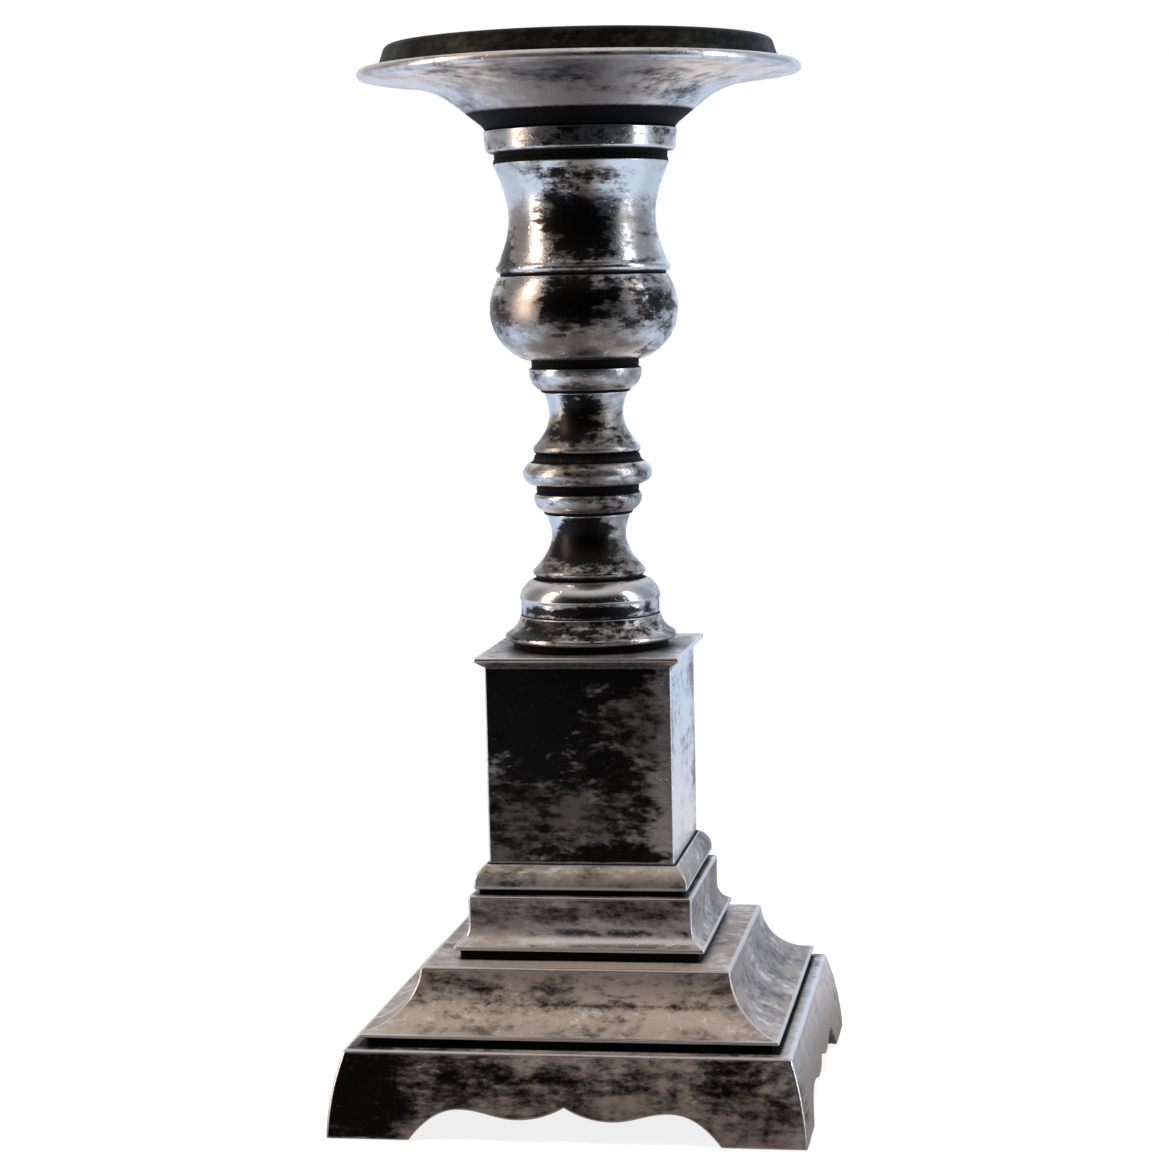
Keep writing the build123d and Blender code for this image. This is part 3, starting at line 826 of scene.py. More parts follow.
FINISHES = {
    "silver_base": OldMetal(
        "worn_silver_base", film=(0.165, 0.127, 0.1), brown=(0.075, 0.049, 0.032), scale=120.0,
        softness=0.1, film_level=0.43, gloss=0.26, dull=0.4, metal_in_film=0.45, rub=2.1,
    ),
    "silver_pedestal": OldMetal(
        "worn_silver_pedestal", film=(0.07, 0.054, 0.041), brown=(0.03, 0.022, 0.015), rub=1.3,
        scale=90.0, level=0.5, softness=0.06, film_level=0.49, dull=0.32,
    ),
    "silver_turned": OldMetal(
        "worn_silver_stem", scale=110.0, level=0.55, dull=0.34, rub=0.7,
    ),
    "silver_socket": OldMetal(
        "worn_silver_socket", brown=(0.1, 0.055, 0.032), level=0.54, film_level=0.54, gloss=0.17,
        dull=0.34,
    ),
    "silver_pan": OldMetal(
        "worn_silver_pan", clean=(0.68, 0.65, 0.635), film=(0.36, 0.32, 0.29),
        brown=(0.12, 0.1, 0.085), scale=80.0, level=0.565, softness=0.075, film_level=0.55,
        gloss=0.26, dull=0.4,
    ),
    "blackened_silver": OldMetal(
        "blackened_silver", clean=(0.035, 0.034, 0.03), film=(0.022, 0.021, 0.014),
        brown=(0.02, 0.018, 0.012), rubbed=(0.12, 0.11, 0.1), level=0.45, gloss=0.36, dull=0.55,
        rub=0.5,
    ),
    "silver_nozzle": OldMetal(
        "worn_silver_nozzle", scale=80.0, level=0.55, gloss=0.25, dull=0.45
    ),
    "brass_tube": OldMetal(
        "dull_brass_tube", clean=(0.62, 0.44, 0.2), film=(0.34, 0.21, 0.09),
        rubbed=(0.75, 0.58, 0.3), gloss=0.3,
    ),
    "iron_plate": OldMetal(
        "rusted_iron_plate", clean=(0.16, 0.14, 0.13), film=(0.17, 0.08, 0.04),
        brown=(0.14, 0.055, 0.022), rubbed=(0.3, 0.27, 0.25), scale=140.0, level=0.5, gloss=0.5,
        dull=0.85, metal_in_film=0.1, relief=0.8,
    ),
    "steel_fastener": OldMetal(
        "aged_steel_fastener", clean=(0.42, 0.4, 0.37), film=(0.22, 0.16, 0.11),
        brown=(0.12, 0.055, 0.025), rubbed=(0.6, 0.57, 0.53), scale=260.0, level=0.55, gloss=0.32,
        dull=0.7,
    ),
}

# Spots on the pieces, besides the ones that chance gives them: the mark, the centre's x, y and z,
# the spread along x, y and z, and the amount.
SPOTS = {
    "drip_pan": (
        ("tarnish", -4, -34, 211.5, 22, 9, 4, 0.06),
        ("tarnish", 21, -24, 208, 8, 8, 3, 0.07),
        ("film", 0, -28, 208, 20, 12, 5, 0.14),
        ("tarnish", -40, -18, 213, 8, 12, 4, -0.12),
        ("tarnish", 40, -14, 213, 8, 14, 4, -0.12),
    ),
    "socket_collar": (("tarnish", 0, -20, 199.5, 9, 5, 4, 0.06),),
    "socket_vase": (
        ("tarnish", -4, -17, 192.5, 7, 6, 2.2, 0.05),
        # Black at the front middle: partly patina, partly painted dark reflection of the front.
        ("tarnish", 1.5, -15.5, 180.5, 7, 5, 6.5, 0.2),
        ("tarnish", -9.5, -12, 178.5, 2.4, 5, 6, -0.08),
        ("tarnish", -14.5, -5, 178, 2.5, 6, 5, 0.08),
        ("film", 0.5, -15.5, 182, 9, 5, 7, -0.12),
        ("tarnish", 11, -12, 192, 2.5, 4, 2, 0.05),
        ("film", 14, -7, 180, 5, 8, 6, 0.1),
        ("tarnish", -14, -8, 191.5, 5, 7, 4.5, -0.18),
        ("tarnish", 14, -8, 191.5, 5, 7, 4, -0.1),
        ("film", 0, -8, 190.5, 20, 9, 3.5, -0.12),
    ),
    "socket_bulb": (
        # Black at the front middle: partly patina, partly painted dark reflection of the front.
        ("tarnish", 1, -19, 167, 8.5, 6, 4, 0.19),
        ("tarnish", -20, -5, 165, 5.5, 12, 5, 0.08),
        ("tarnish", 15, -11, 166, 6, 9, 4, 0.11),
        ("tarnish", -9, -15.5, 165.5, 2.6, 6, 5.5, -0.14),
        ("film", 0, -16, 165, 24, 9, 6, 0.12),
        ("tarnish", 0, -15, 157, 16, 9, 3, -0.1),
        ("film", 0, -16, 157.5, 12, 8, 3, 0.05),
    ),
    "upper_neck": (
        # Black at the front middle: partly patina, partly painted dark reflection of the front.
        ("tarnish", 0, -8.5, 143, 5.5, 4, 5, 0.16),
        ("film", 0, -8, 141, 20, 9, 9, 0.06),
        ("tarnish", -7, -5, 145.3, 2.6, 5, 3.2, -0.3),
        ("film", -7, -5, 145.3, 2.6, 5, 3.2, -0.3),
        ("tarnish", 7.5, -5, 146, 2.6, 5, 2.6, -0.16),
        ("tarnish", 0, -8, 139, 20, 9, 3, 0.05),
    ),
    "lower_neck": (
        # Black at the front middle: partly patina, partly painted dark reflection of the front.
        ("tarnish", 0.5, -8.5, 118, 6, 4, 5, 0.18),
        ("tarnish", 0, -8, 116, 20, 9, 5, 0.06),
        ("tarnish", -7.5, -5, 121, 2.4, 5, 2.6, -0.24),
        ("film", -7.5, -5, 121, 2.4, 5, 2.6, -0.2),
        ("tarnish", 7.5, -5, 122.5, 2.4, 5, 2.4, -0.18),
        ("film", 0, -8, 116, 20, 9, 9, 0.06),
    ),
    "foot_ring": (
        # Black on the band's front: partly patina, partly painted dark reflection of the front.
        ("tarnish", 0, -14, 102.3, 20, 12, 1.2, 0.2),
        ("film", 0, -14, 102.3, 20, 12, 1.2, -0.2),
        ("tarnish", 0, -12, 107, 16, 9, 2.2, -0.12),
        ("film", 0, -12, 106, 18, 9, 2.2, -0.2),
    ),
    "stem_foot": (
        # Black at the front middle: partly patina, partly painted dark reflection of the front.
        ("tarnish", 0, -14, 99, 20, 14, 3, 0.12),
        ("tarnish", 0, -20, 95.4, 24, 14, 0.9, -0.1),
    ),
    "plinth_cap": (
        # A round painted shadow on the cap's top, round the stem's foot.
        ("grime_and_shade", 0, 0, 94, 14.5, 14.5, 2, 1.0),
        ("tarnish", 0, 0, 93.5, 60, 60, 30, -0.09),
        ("film", 0, 0, 93.5, 60, 60, 30, -0.02),
    ),
    "pedestal_die": (
        ("tarnish", -9, -19.4, 81, 10, 4, 11, 0.2),
        ("film", -9, -19.4, 81, 10, 4, 11, -0.2),
        # Black along the top of the front face: painted shadow under the cap plate.
        ("tarnish", 0, -19.4, 91.5, 30, 4, 2.4, 0.2),
        ("tarnish", 10, -19.4, 52, 12, 4, 2.6, 0.2),
        ("tarnish", 6, -19.4, 73, 6, 4, 4, 0.08),
        ("tarnish", 12, -19.4, 82, 7, 4, 5, 0.02),
        ("film", 12, -19.4, 80, 9, 4, 9, 0.12),
        ("film", -17, -19.4, 56, 6, 4, 9, 0.2),
        ("film", -3, -19.4, 61, 17, 4, 6, 0.1),
        ("tarnish", -3, -19.4, 61, 15, 4, 5, -0.02),
        ("tarnish", 19.4, -4, 71, 4, 30, 60, -0.13),
        ("film", 19.4, -4, 71, 4, 30, 60, -0.1),
    ),
    "die_moulding": (
        ("tarnish", 0, 0, 47, 60, 60, 30, -0.04),
        ("tarnish", 0, -23.5, 45.5, 30, 5, 1.4, 0.05),
    ),
    "upper_step": (
        ("tarnish", 0, -23.3, 41, 26, 4, 2.2, 0.06),
        ("tarnish", 0, -25, 35.8, 30, 5, 2.6, -0.16),
        ("film", 0, -25, 35.8, 30, 5, 2.6, -0.16),
    ),
    "lower_step": (
        ("tarnish", 0, 0, 25, 90, 90, 30, -0.03),
        ("tarnish", 0, -28.5, 31.6, 40, 4, 1.2, -0.12),
        ("film", 0, -33, 28, 50, 8, 6, 0.13),
        ("tarnish", -10, -33, 27.5, 20, 5, 1.6, 0.05),
        ("tarnish", 6, -35.5, 24.6, 22, 5, 0.7, 0.13),
        ("film", 0, -38, 21.5, 50, 6, 2, 0.02),
        ("tarnish", 0, -38, 22, 50, 6, 1.6, -0.05),
    ),
    "base_skirt": (
        ("tarnish", -42, -47, 7, 11, 5, 12, 0.16),
        ("tarnish", 0, -47, 10, 70, 5, 9, 0.035),
        ("tarnish", 41, -47, 10, 9, 5, 7, 0.015),
        ("tarnish", -20, -47, 13, 16, 5, 3, 0.04),
        ("film", 4, -47, 9, 30, 5, 6, 0.08),
        ("film", 40, -47, 5, 12, 5, 8, 0.1),
        ("tarnish", 47, 0, 9, 5, 70, 30, -0.09),
        ("film", 47, 0, 9, 5, 70, 30, -0.22),
    ),
}


# ------------------------------------------------------------------ pieces


# The values that the outlines give to shadow gaps, joints and hollows paint shade there, on top of the
# soiling they stand for.
class Workshop:
    """Turns surfaces into dressed pieces that ride on the frame."""

    def __init__(self) -> None:
        """Reads which slot and body each CAD node has, and starts with no finishes."""
        record = frame["record"]
        self.slots = {row["node"]: row["material_slot"] for row in record["subparts"]}
        self.bodies = {
            node: body for body, nodes in record["behaviour"]["bodies"].items() for node in nodes
        }
        self.finishes: dict[str, bpy.types.Material] = {}
        self.random = np.random.default_rng(SEED)

    def finish(self, slot: str) -> bpy.types.Material:
        """The material of a slot, made the first time that it is asked for."""
        if slot not in self.finishes:
            self.finishes[slot] = FINISHES[slot].build()
        return self.finishes[slot]

    def low(self, node: str) -> float:
        """Height of a node's lowest point, in millimetres."""
        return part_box(node)[0].z / MM

    def high(self, node: str) -> float:
        """Height of a node's highest point, in millimetres."""
        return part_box(node)[1].z / MM

    def span(self, node: str) -> tuple[float, float]:
        """Height of a node's lowest point, and the node's own height, in millimetres."""
        low = self.low(node)
        return low, self.high(node) - low

    def set_spots(self, node: str) -> list[Patch]:
        """The spots that the table gives a node."""
        rows = SPOTS.get(node, ())
        return [Patch(mark, tuple(at[:3]), tuple(at[3:6]), at[6]) for mark, *at in rows]

    def chance_spots(self, surface: Surface) -> list[Patch]:
        """A few spots of patina and film behind the front, at seeded random places."""
        points = surface.grid.reshape(-1, 3)
        points = points[points[:, 1] > -0.4 * np.abs(points[:, 0])]
        spots = []
        for mark in ("tarnish", "film", "tarnish", "film", "tarnish"):
            centre = points[self.random.integers(len(points))]
            spread = self.random.uniform(3.0, 12.0, 3)
            amount = self.random.uniform(-0.05, 0.08)
            spots.append(Patch(mark, tuple(centre), tuple(spread), amount))
        return spots

    def deliver(self, node: str, surface: Surface) -> bpy.types.Object:
        """Makes the piece that stands for a CAD node.

        Args:
            node: the CAD node.
            surface: its visible surface, which is kept inside the node's own box.

        Returns:
            The piece.
        """
        low, high = (np.array(corner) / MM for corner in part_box(node))
        surface.grid = np.clip(surface.grid, low, high)
        surface.spot(*self.set_spots(node), *self.chance_spots(surface))
        piece = surface.build(node + "_surface")
        piece.data.materials.append(self.finish(self.slots[node]))
        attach(piece, self.bodies[node])
        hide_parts(node)
        LOG.info("%s: %d faces on %s", piece.name, len(piece.data.polygons), self.bodies[node])
        return piece


@dataclass
class Base:
    """Skirt on bracket feet, two cavetto steps, the moulding and the bridge plate inside."""

    shop: Workshop
    skirt_half: float = 48.6
    wall: float = 2.0
    ledge_inset: float = 3.9
    flange_half: float = 28.0
    step_edge: float = 43.0
    foot_inner: float = 31.6
    arch_peak: Point = (21.4, 6.3)
    lobe: Point = (9.7, 4.5)
    cusp: float = 7.1
    flare_rise: float = 16.6
    flare_in: float = 3.1
    warp_top: float = 12.5

    def build(self) -> None:
        """Builds every piece of the base."""
        self.skirt()
        self.lower_step()
        self.upper_step()
        self.moulding()
        self.bridge()

    def arch(self, across: np.ndarray) -> np.ndarray:
        """Height of the scalloped lower edge over the floor.

        From the foot it rises as peak (1 - (1 - t)^2.25), falls to the lobe as half a cosine
        wave, and climbs to the cusp at the middle as t^2.1, where t runs from 0 to 1.

        Args:
            across: distance from the middle of the side, in millimetres.

        Returns:
            The height at each distance.
        """
        away = np.abs(across)
        peak_x, peak = self.arch_peak
        lobe_x, lobe = self.lobe
        rise = np.clip((self.foot_inner - away) / (self.foot_inner - peak_x), 0.0, 1.0)
        fall = np.clip((peak_x - away) / (peak_x - lobe_x), 0.0, 1.0)
        climb = np.clip((lobe_x - away) / lobe_x, 0.0, 1.0)
        height = peak * (1.0 - (1.0 - rise) ** 2.25)
        height -= (peak - lobe) * (1.0 - np.cos(math.pi * fall)) / 2.0
        return height + (self.cusp - lobe) * climb**2.1

    def skirt(self) -> None:
        """Apron whose lower rings are bent up along the scalloped edge."""
        top = self.shop.high("base_skirt")
        half, wall = self.skirt_half, self.wall
        outline = Outline((half, 0.0)).arc((half - 1.05, 9.0), (half - 3.1, top - 0.9))
        outline.arc((half - 3.32, top - 0.25), (half - self.ledge_inset, top))
        outline.line((self.step_edge, top), grime_and_shade=0.1).line((self.step_edge - 2.0, top), grime_and_shade=1.0)
        outline.line((self.flange_half, top), (self.flange_half, top - wall), grime_and_shade=0.75)
        outline.line((half - wall - 2.9, top - wall), grime_and_shade=0.6)
        outline.arc((half - wall - 1.0, 8.4), (half - wall, 0.0), grime_and_shade=0.5)
        section = outline.sampled(spacing=0.9)
        stops = np.array([0.0, self.lobe[0], self.arch_peak[0], self.foot_inner, half - 0.6])
        marks = [np.arange(a, b, 0.8) for a, b in zip(stops[:-1], stops[1:])]
        right = np.concatenate(marks + [stops[-1:]]) / stops[-1]
        loop = SquareLoop(tuple(np.concatenate([-right[:0:-1], right])))
        surface = squared(section, loop, Ripple(0.07, 9.0, 60.0), corner=0.6)
        grid = surface.grid
        along = np.where(np.abs(grid[..., 0]) < np.abs(grid[..., 1]), grid[..., 0], grid[..., 1])
        floor_edge = self.arch(along)
        share = np.clip(1.0 - grid[..., 2] / self.warp_top, 0.0, 1.0)
        raised = grid[..., 2] + floor_edge * share
        lean = (self.flare(raised) - self.flare(grid[..., 2]))[..., None]
        big = np.maximum(np.abs(grid[..., 0]), np.abs(grid[..., 1]))[..., None]
        grid[..., :2] *= 1.0 + lean / big
        grid[..., 2] = raised
        near = np.minimum(np.abs(grid[..., 0]), np.abs(grid[..., 1]))
        surface.marks["tarnish"] += 0.02 * np.clip((near - 26.0) / 16.0, 0.0, 1.0)
        surface.marks["edge"] *= 0.35 + 0.65 * np.clip(grid[..., 2] / 8.0, 0.0, 1.0)
        self.shop.deliver("base_skirt", surface)

    def flare(self, height: np.ndarray) -> np.ndarray:
        """How far the wall leans in at a height h: flare_in (0.32 s + 0.68 s^2), s = h / flare_rise."""
        share = np.clip(height / self.flare_rise, 0.0, 1.0)
        return -self.flare_in * (0.32 * share + 0.68 * share**2)

    def lower_step(self) -> None:
        """Thin edge over a shadow gap, a wide cavetto, and a flat platform."""
        low, rise = self.shop.span("lower_step")
        outline = Outline((41.4, 0.0), low).line((41.4, 1.4), (42.6, 1.7), grime_and_shade=1.0)
        outline.line((42.8, 1.8), (42.8, 2.4)).arc((35.4, 6.1), (32.0, rise - 0.8))
        outline.arc((31.8, rise - 0.2), (31.3, rise))
        outline.line((25.2, rise)).line((15.0, rise), (15.0, rise - 2.2), grime_and_shade=0.8)
        outline.line((29.6, rise - 2.2), grime_and_shade=0.7).arc((32.6, 4.3), (38.2, 0.0), grime_and_shade=0.6)
        section = outline.sampled(spacing=0.9)
        surface = squared(section, SquareLoop.even(42.8), Ripple(0.07, 9.0, 60.0, seed=SEED + 1))
        self.shop.deliver("lower_step", surface)

    def upper_step(self) -> None:
        """The same order on a smaller scale, with an upright band."""
        low, rise = self.shop.span("upper_step")
        outline = Outline((24.9, 0.0), low).line((24.9, 1.8), (25.9, 2.0), grime_and_shade=1.0)
        outline.line((26.1, 2.1), (26.1, 2.8)).arc((24.2, 4.1), (23.3, 6.6))
        outline.line((23.3, rise - 0.5)).arc((23.15, rise - 0.12), (22.8, rise))
        outline.line((21.3, rise), grime_and_shade=0.2).line((12.0, rise), (12.0, rise - 2.2), grime_and_shade=0.8)
        outline.line((20.8, rise - 2.2), (20.8, 0.0), grime_and_shade=0.7)
        section = outline.sampled(spacing=0.8)
        ripple = Ripple(0.05, 8.0, 40.0, seed=SEED + 2)
        self.shop.deliver("upper_step", squared(section, SquareLoop.even(26.1, 0.9), ripple, 0.5))

    def moulding(self) -> None:
        """Shadow gap, upright edge and quarter round, with the locating block on top."""
        low, rise = self.shop.span("die_moulding")
        rise, block = rise - 2.0, 17.5
        outline = Outline((21.3, 0.0), low).line((21.3, 1.1), (22.1, 1.2), grime_and_shade=1.0)
        outline.line((22.3, 1.3), (22.3, 2.4)).arc((21.4, 4.8), (19.9, rise))
        outline.line((block, rise), (block, rise + 2.0), grime_and_shade=0.6)
        outline.line((ROD_HOLE, rise + 2.0), (ROD_HOLE, 0.0), grime_and_shade=0.8)
        section = outline.sampled(spacing=0.8)
        loop, ripple = SquareLoop.even(22.3, 0.9), Ripple(0.045, 8.0, 40.0, seed=SEED + 3)
        self.shop.deliver("die_moulding", squared(section, loop, ripple, 0.5, ROD_HOLE))

    def bridge(self) -> None:
        """Plate inside the base, with rounded corners and a hole for the rod."""
        low, thick = self.shop.span("base_bridge")
        half, corner = 34.0, 5.0
        outline = Outline((half, 0.0), low).line((half, thick), (ROD_HOLE, thick), (ROD_HOLE, 0.0))
        section = outline.sampled(wear=0.2, spacing=1.4)
        loop, ripple = SquareLoop.even(half, 1.4, 10), Ripple(0.12, seed=SEED + 4)
        self.shop.deliver("base_bridge", squared(section, loop, ripple, corner, ROD_HOLE))


@dataclass
class Pedestal:
    """The plain square box with its thin cap plate."""

    shop: Workshop
    half: float = 19.4
    wall: float = 1.8
    cap_half: float = 21.4
    block_half: float = 17.5

    def build(self) -> None:
        """Builds the box and the cap."""
        self.die()
        self.cap()

    def die(self) -> None:
        """Square tube, a little hollow and uneven on its faces."""
        low, rise = self.shop.span("pedestal_die")
        inner = self.half - self.wall
        outline = Outline((self.half, 0.0), low).line((self.half, rise)).line((inner, rise))
        outline.line((inner, 0.0), grime_and_shade=0.7)
        section = outline.sampled(wear=0.1, spacing=0.9)
        ripple = Ripple(0.06, 10.0, 45.0, seed=SEED + 5)
        surface = squared(section, SquareLoop.even(self.half, 0.9), ripple, 0.4)
        level = surface.grid[..., 2] - low
        # Painted shade and soiling along the die's top 1.6 mm, under the cap, and its bottom 1.2 mm.
        joint_soil_and_shade = np.clip(1.0 - level / 1.2, 0.0, 1.0) + np.clip(1.0 - (rise - level) / 1.6, 0.0, 1.0)
        surface.marks["grime_and_shade"] += 0.6 * joint_soil_and_shade
        self.shop.deliver("pedestal_die", surface)

    def cap(self) -> None:
        """Thin plate with a bevel below, a locating block and a round spigot."""
        low = self.shop.low("plinth_cap") + 2.0
        top = self.shop.high("plinth_cap") - SPIGOT[1] - low
        half, block = self.cap_half, self.block_half
        outline = Outline((block, -2.0), low).line((block, 0.0), grime_and_shade=0.6)
        outline.line((self.half + 0.4, 0.0), grime_and_shade=0.7).line((half, top - 0.8), grime_and_shade=0.3)
        outline.line((half, top - 0.2), (half - 0.3, top)).line((16.4, top), grime_and_shade=0.04)
        outline.line((SPIGOT[0], top), grime_and_shade=0.04)
        outline.line((SPIGOT[0], top + SPIGOT[1]), grime_and_shade=0.8)
        outline.line((ROD_HOLE, top + SPIGOT[1]), (ROD_HOLE, -2.0), grime_and_shade=0.8)
        section = outline.sampled(wear=0.12, spacing=0.8)
        loop, ripple = SquareLoop.even(half, 0.9), Ripple(0.05, 10.0, 45.0, seed=SEED + 6)
        self.shop.deliver("plinth_cap", squared(section, loop, ripple, 0.45, SPIGOT[0]))


@dataclass
class Stem:
    """The turned pieces of the baluster, each with a spigot, a recess and the rod's hole."""

    shop: Workshop
    spigot_gap: float = 0.1
    around: int = 200

    def build(self) -> None:
        """Builds the pieces from the foot up."""
        faces = {
            "stem_foot": self.foot_face,
            "foot_ring": self.ring_face,
            "lower_neck": self.lower_neck_face,
            "lower_ring": self.lower_ring_face,
            "knop": self.knop_face,
            "upper_neck": self.upper_neck_face,
            "stem_flange": self.flange_face,
        }
        for order, (node, face) in enumerate(faces.items()):
            low = self.shop.low(node)
            rise = self.shop.high(node) - SPIGOT[1] - low
            section = self.bored(face(low), rise).sampled(spacing=0.7)
            ripple = Ripple(0.028, 6.0, 30.0, seed=SEED + 20 + order)
            self.shop.deliver(node, turned(section, self.around, ripple))

    def bored(self, outline: Outline, rise: float) -> Outline:
        """Closes a face with the spigot on top, the rod's hole and the recess below.

        Args:
            outline: the face, from its lowest to its highest point.
            rise: the height of the piece without its spigot.

        Returns:
            The closed outline.
        """
        radius, tall = SPIGOT
        recess = radius + self.spigot_gap
        outline.line((radius, rise), (radius, rise + tall), (ROD_HOLE, rise + tall), grime_and_shade=0.8)
        outline.line((ROD_HOLE, tall + self.spigot_gap), grime_and_shade=0.8)
        return outline.line((recess, tall + self.spigot_gap), (recess, 0.0), grime_and_shade=0.8)

    def foot_face(self, low: float) -> Outline:
        """Thin round edge over a shadow gap, then a concave sweep."""
        face = Outline((16.4, 0.0), low).line((16.4, 1.5), (17.5, 1.65), grime_and_shade=1.0)
        return face.arc((18.1, 2.4), (17.7, 3.1)).arc((15.9, 4.5), (14.8, 6.9))

    def ring_face(self, low: float) -> Outline:
        """Straight band and rounded shoulder."""
        # The straight band is darkened: painted dark reflection of the front, on top of soiling.
        face = Outline((14.6, 0.0), low).line((14.6, 0.3), grime_and_shade=0.8).line((14.6, 3.1), grime_and_shade=0.3)
        return face.line((14.9, 3.5)).arc((14.2, 5.6), (11.9, 7.6))

    def lower_neck_face(self, low: float) -> Outline:
        """Small round foot over a fine gap, then a deep hollow."""
        face = Outline((11.3, 0.0), low).line((11.3, 0.7), grime_and_shade=1.0).arc((11.9, 1.4), (11.4, 2.2))
        return face.curve((9.2, 5.0), (7.8, 9.2), (8.9, 13.6))

    def lower_ring_face(self, low: float) -> Outline:
        """Ring that is rounded below and straight above."""
        face = Outline((9.2, 0.0), low).line((9.5, 0.7), grime_and_shade=0.9).arc((10.9, 2.0), (11.4, 3.9))
        return face.line((11.1, 4.4)).line((10.8, 4.4), (10.8, 5.0), grime_and_shade=1.0)

    def knop_face(self, low: float) -> Outline:
        """Bold half round between a shadow gap and a short cove."""
        face = Outline((10.8, 0.0), low).line((10.8, 1.2), (11.9, 1.35), grime_and_shade=1.0)
        face.line((12.0, 1.4)).arc((13.56, 3.8), (12.1, 6.0))
        return face.arc((11.4, 6.5), (11.2, 7.3), grime_and_shade=0.7).line((10.8, 7.8), grime_and_shade=1.0)

    def upper_neck_face(self, low: float) -> Outline:
        """Small round foot, then a deep hollow."""
        face = Outline((10.8, 0.0), low).line((11.2, 0.5), grime_and_shade=0.9).arc((11.3, 1.2), (10.8, 1.9))
        return face.curve((8.9, 4.4), (7.78, 8.1), (8.4, 11.8), (8.8, 12.8))

    def flange_face(self, low: float) -> Outline:
        """Cup shape with a shadow gap on top."""
        face = Outline((9.2, 0.0), low).line((9.6, 0.6), grime_and_shade=1.0).arc((11.1, 1.9), (11.8, 3.8))
        return face.line((11.9, 5.0)).line((11.3, 5.2), (11.3, 5.6), grime_and_shade=1.0)


@dataclass
class Socket:
    """The vase that holds the nozzle: bulb, waist, collar and the liner inside."""

    shop: Workshop
    liner_radius: float = 13.33
    liner_bore: float = 12.43
    bulb_mouth: float = 15.6
    shelf: float = 11.4
    around: int = 240

    def build(self) -> None:
        """Builds the four pieces."""
        faces = {
            "socket_bulb": self.bulb,
            "socket_vase": self.vase,
            "socket_collar": self.collar,
            "socket_liner": self.liner,
        }
        for order, (node, face) in enumerate(faces.items()):
            section = face(self.shop.low(node)).sampled(spacing=0.8)
            ripple = Ripple(0.035, 9.0, 40.0, seed=SEED + 40 + order)
            self.shop.deliver(node, turned(section, self.around, ripple))

    def bulb(self, low: float) -> Outline:
        """Round bottom with a recess for the flange's spigot and an open mouth."""
        face = Outline((11.3, 0.0), low).line((11.3, 1.2), (12.6, 1.4), grime_and_shade=1.0)
        face.line((12.8, 1.5)).arc((17.9, 5.7), (19.74, 11.4)).arc((19.2, 15.4), (17.7, 18.8))
        face.line((self.bulb_mouth, 18.8), (self.bulb_mouth, 17.2), grime_and_shade=0.8)
        face.arc((17.4, 11.6), (14.6, 5.2), grime_and_shade=0.5)
        return face.line((ROD_HOLE, 5.2), (ROD_HOLE, 1.5), (5.7, 1.5), (5.7, 0.0), grime_and_shade=0.7)

    def vase(self, low: float) -> Outline:
        """Fine gap and bead at the foot, waist, shadow gap on top, and the liner's seat."""
        spigot = self.bulb_mouth - 0.1
        face = Outline((self.shelf, 0.0), low).line((spigot, 0.0), (spigot, 1.4), grime_and_shade=0.8)
        face.line((17.4, 1.4), (17.4, 2.0), grime_and_shade=1.0).arc((18.3, 2.9), (17.8, 3.8))
        face.curve((15.9, 9.1), (15.4, 14.0), (16.4, 19.6), (18.4, 24.6))
        face.line((18.1, 25.8), (self.liner_radius, 25.8), grime_and_shade=1.0)
        face.line((self.liner_radius, 4.4), (self.shelf, 4.4), grime_and_shade=0.5)
        return face.line((self.shelf, 0.0), grime_and_shade=0.5)

    def collar(self, low: float) -> Outline:
        """Plain rim over a shadow gap."""
        face = Outline((self.liner_radius, 0.0), low).line((18.1, 0.0), (18.1, 1.1), grime_and_shade=1.0)
        face.line((19.4, 1.2), grime_and_shade=0.5).line((19.8, 1.5), (20.2, 5.5)).line((19.8, 5.9), grime_and_shade=0.9)
        return face.line((self.liner_radius, 5.9), grime_and_shade=0.6)

    def liner(self, low: float) -> Outline:
        """Plain tube with an eased mouth."""
        tall = self.shop.span("socket_liner")[1]
        face = Outline((self.liner_radius, 0.0), low).line((self.liner_radius, tall))
        face.line((self.liner_bore + 0.3, tall), (self.liner_bore, tall - 0.3))
        return face.line((self.liner_bore, 0.0), grime_and_shade=0.35)


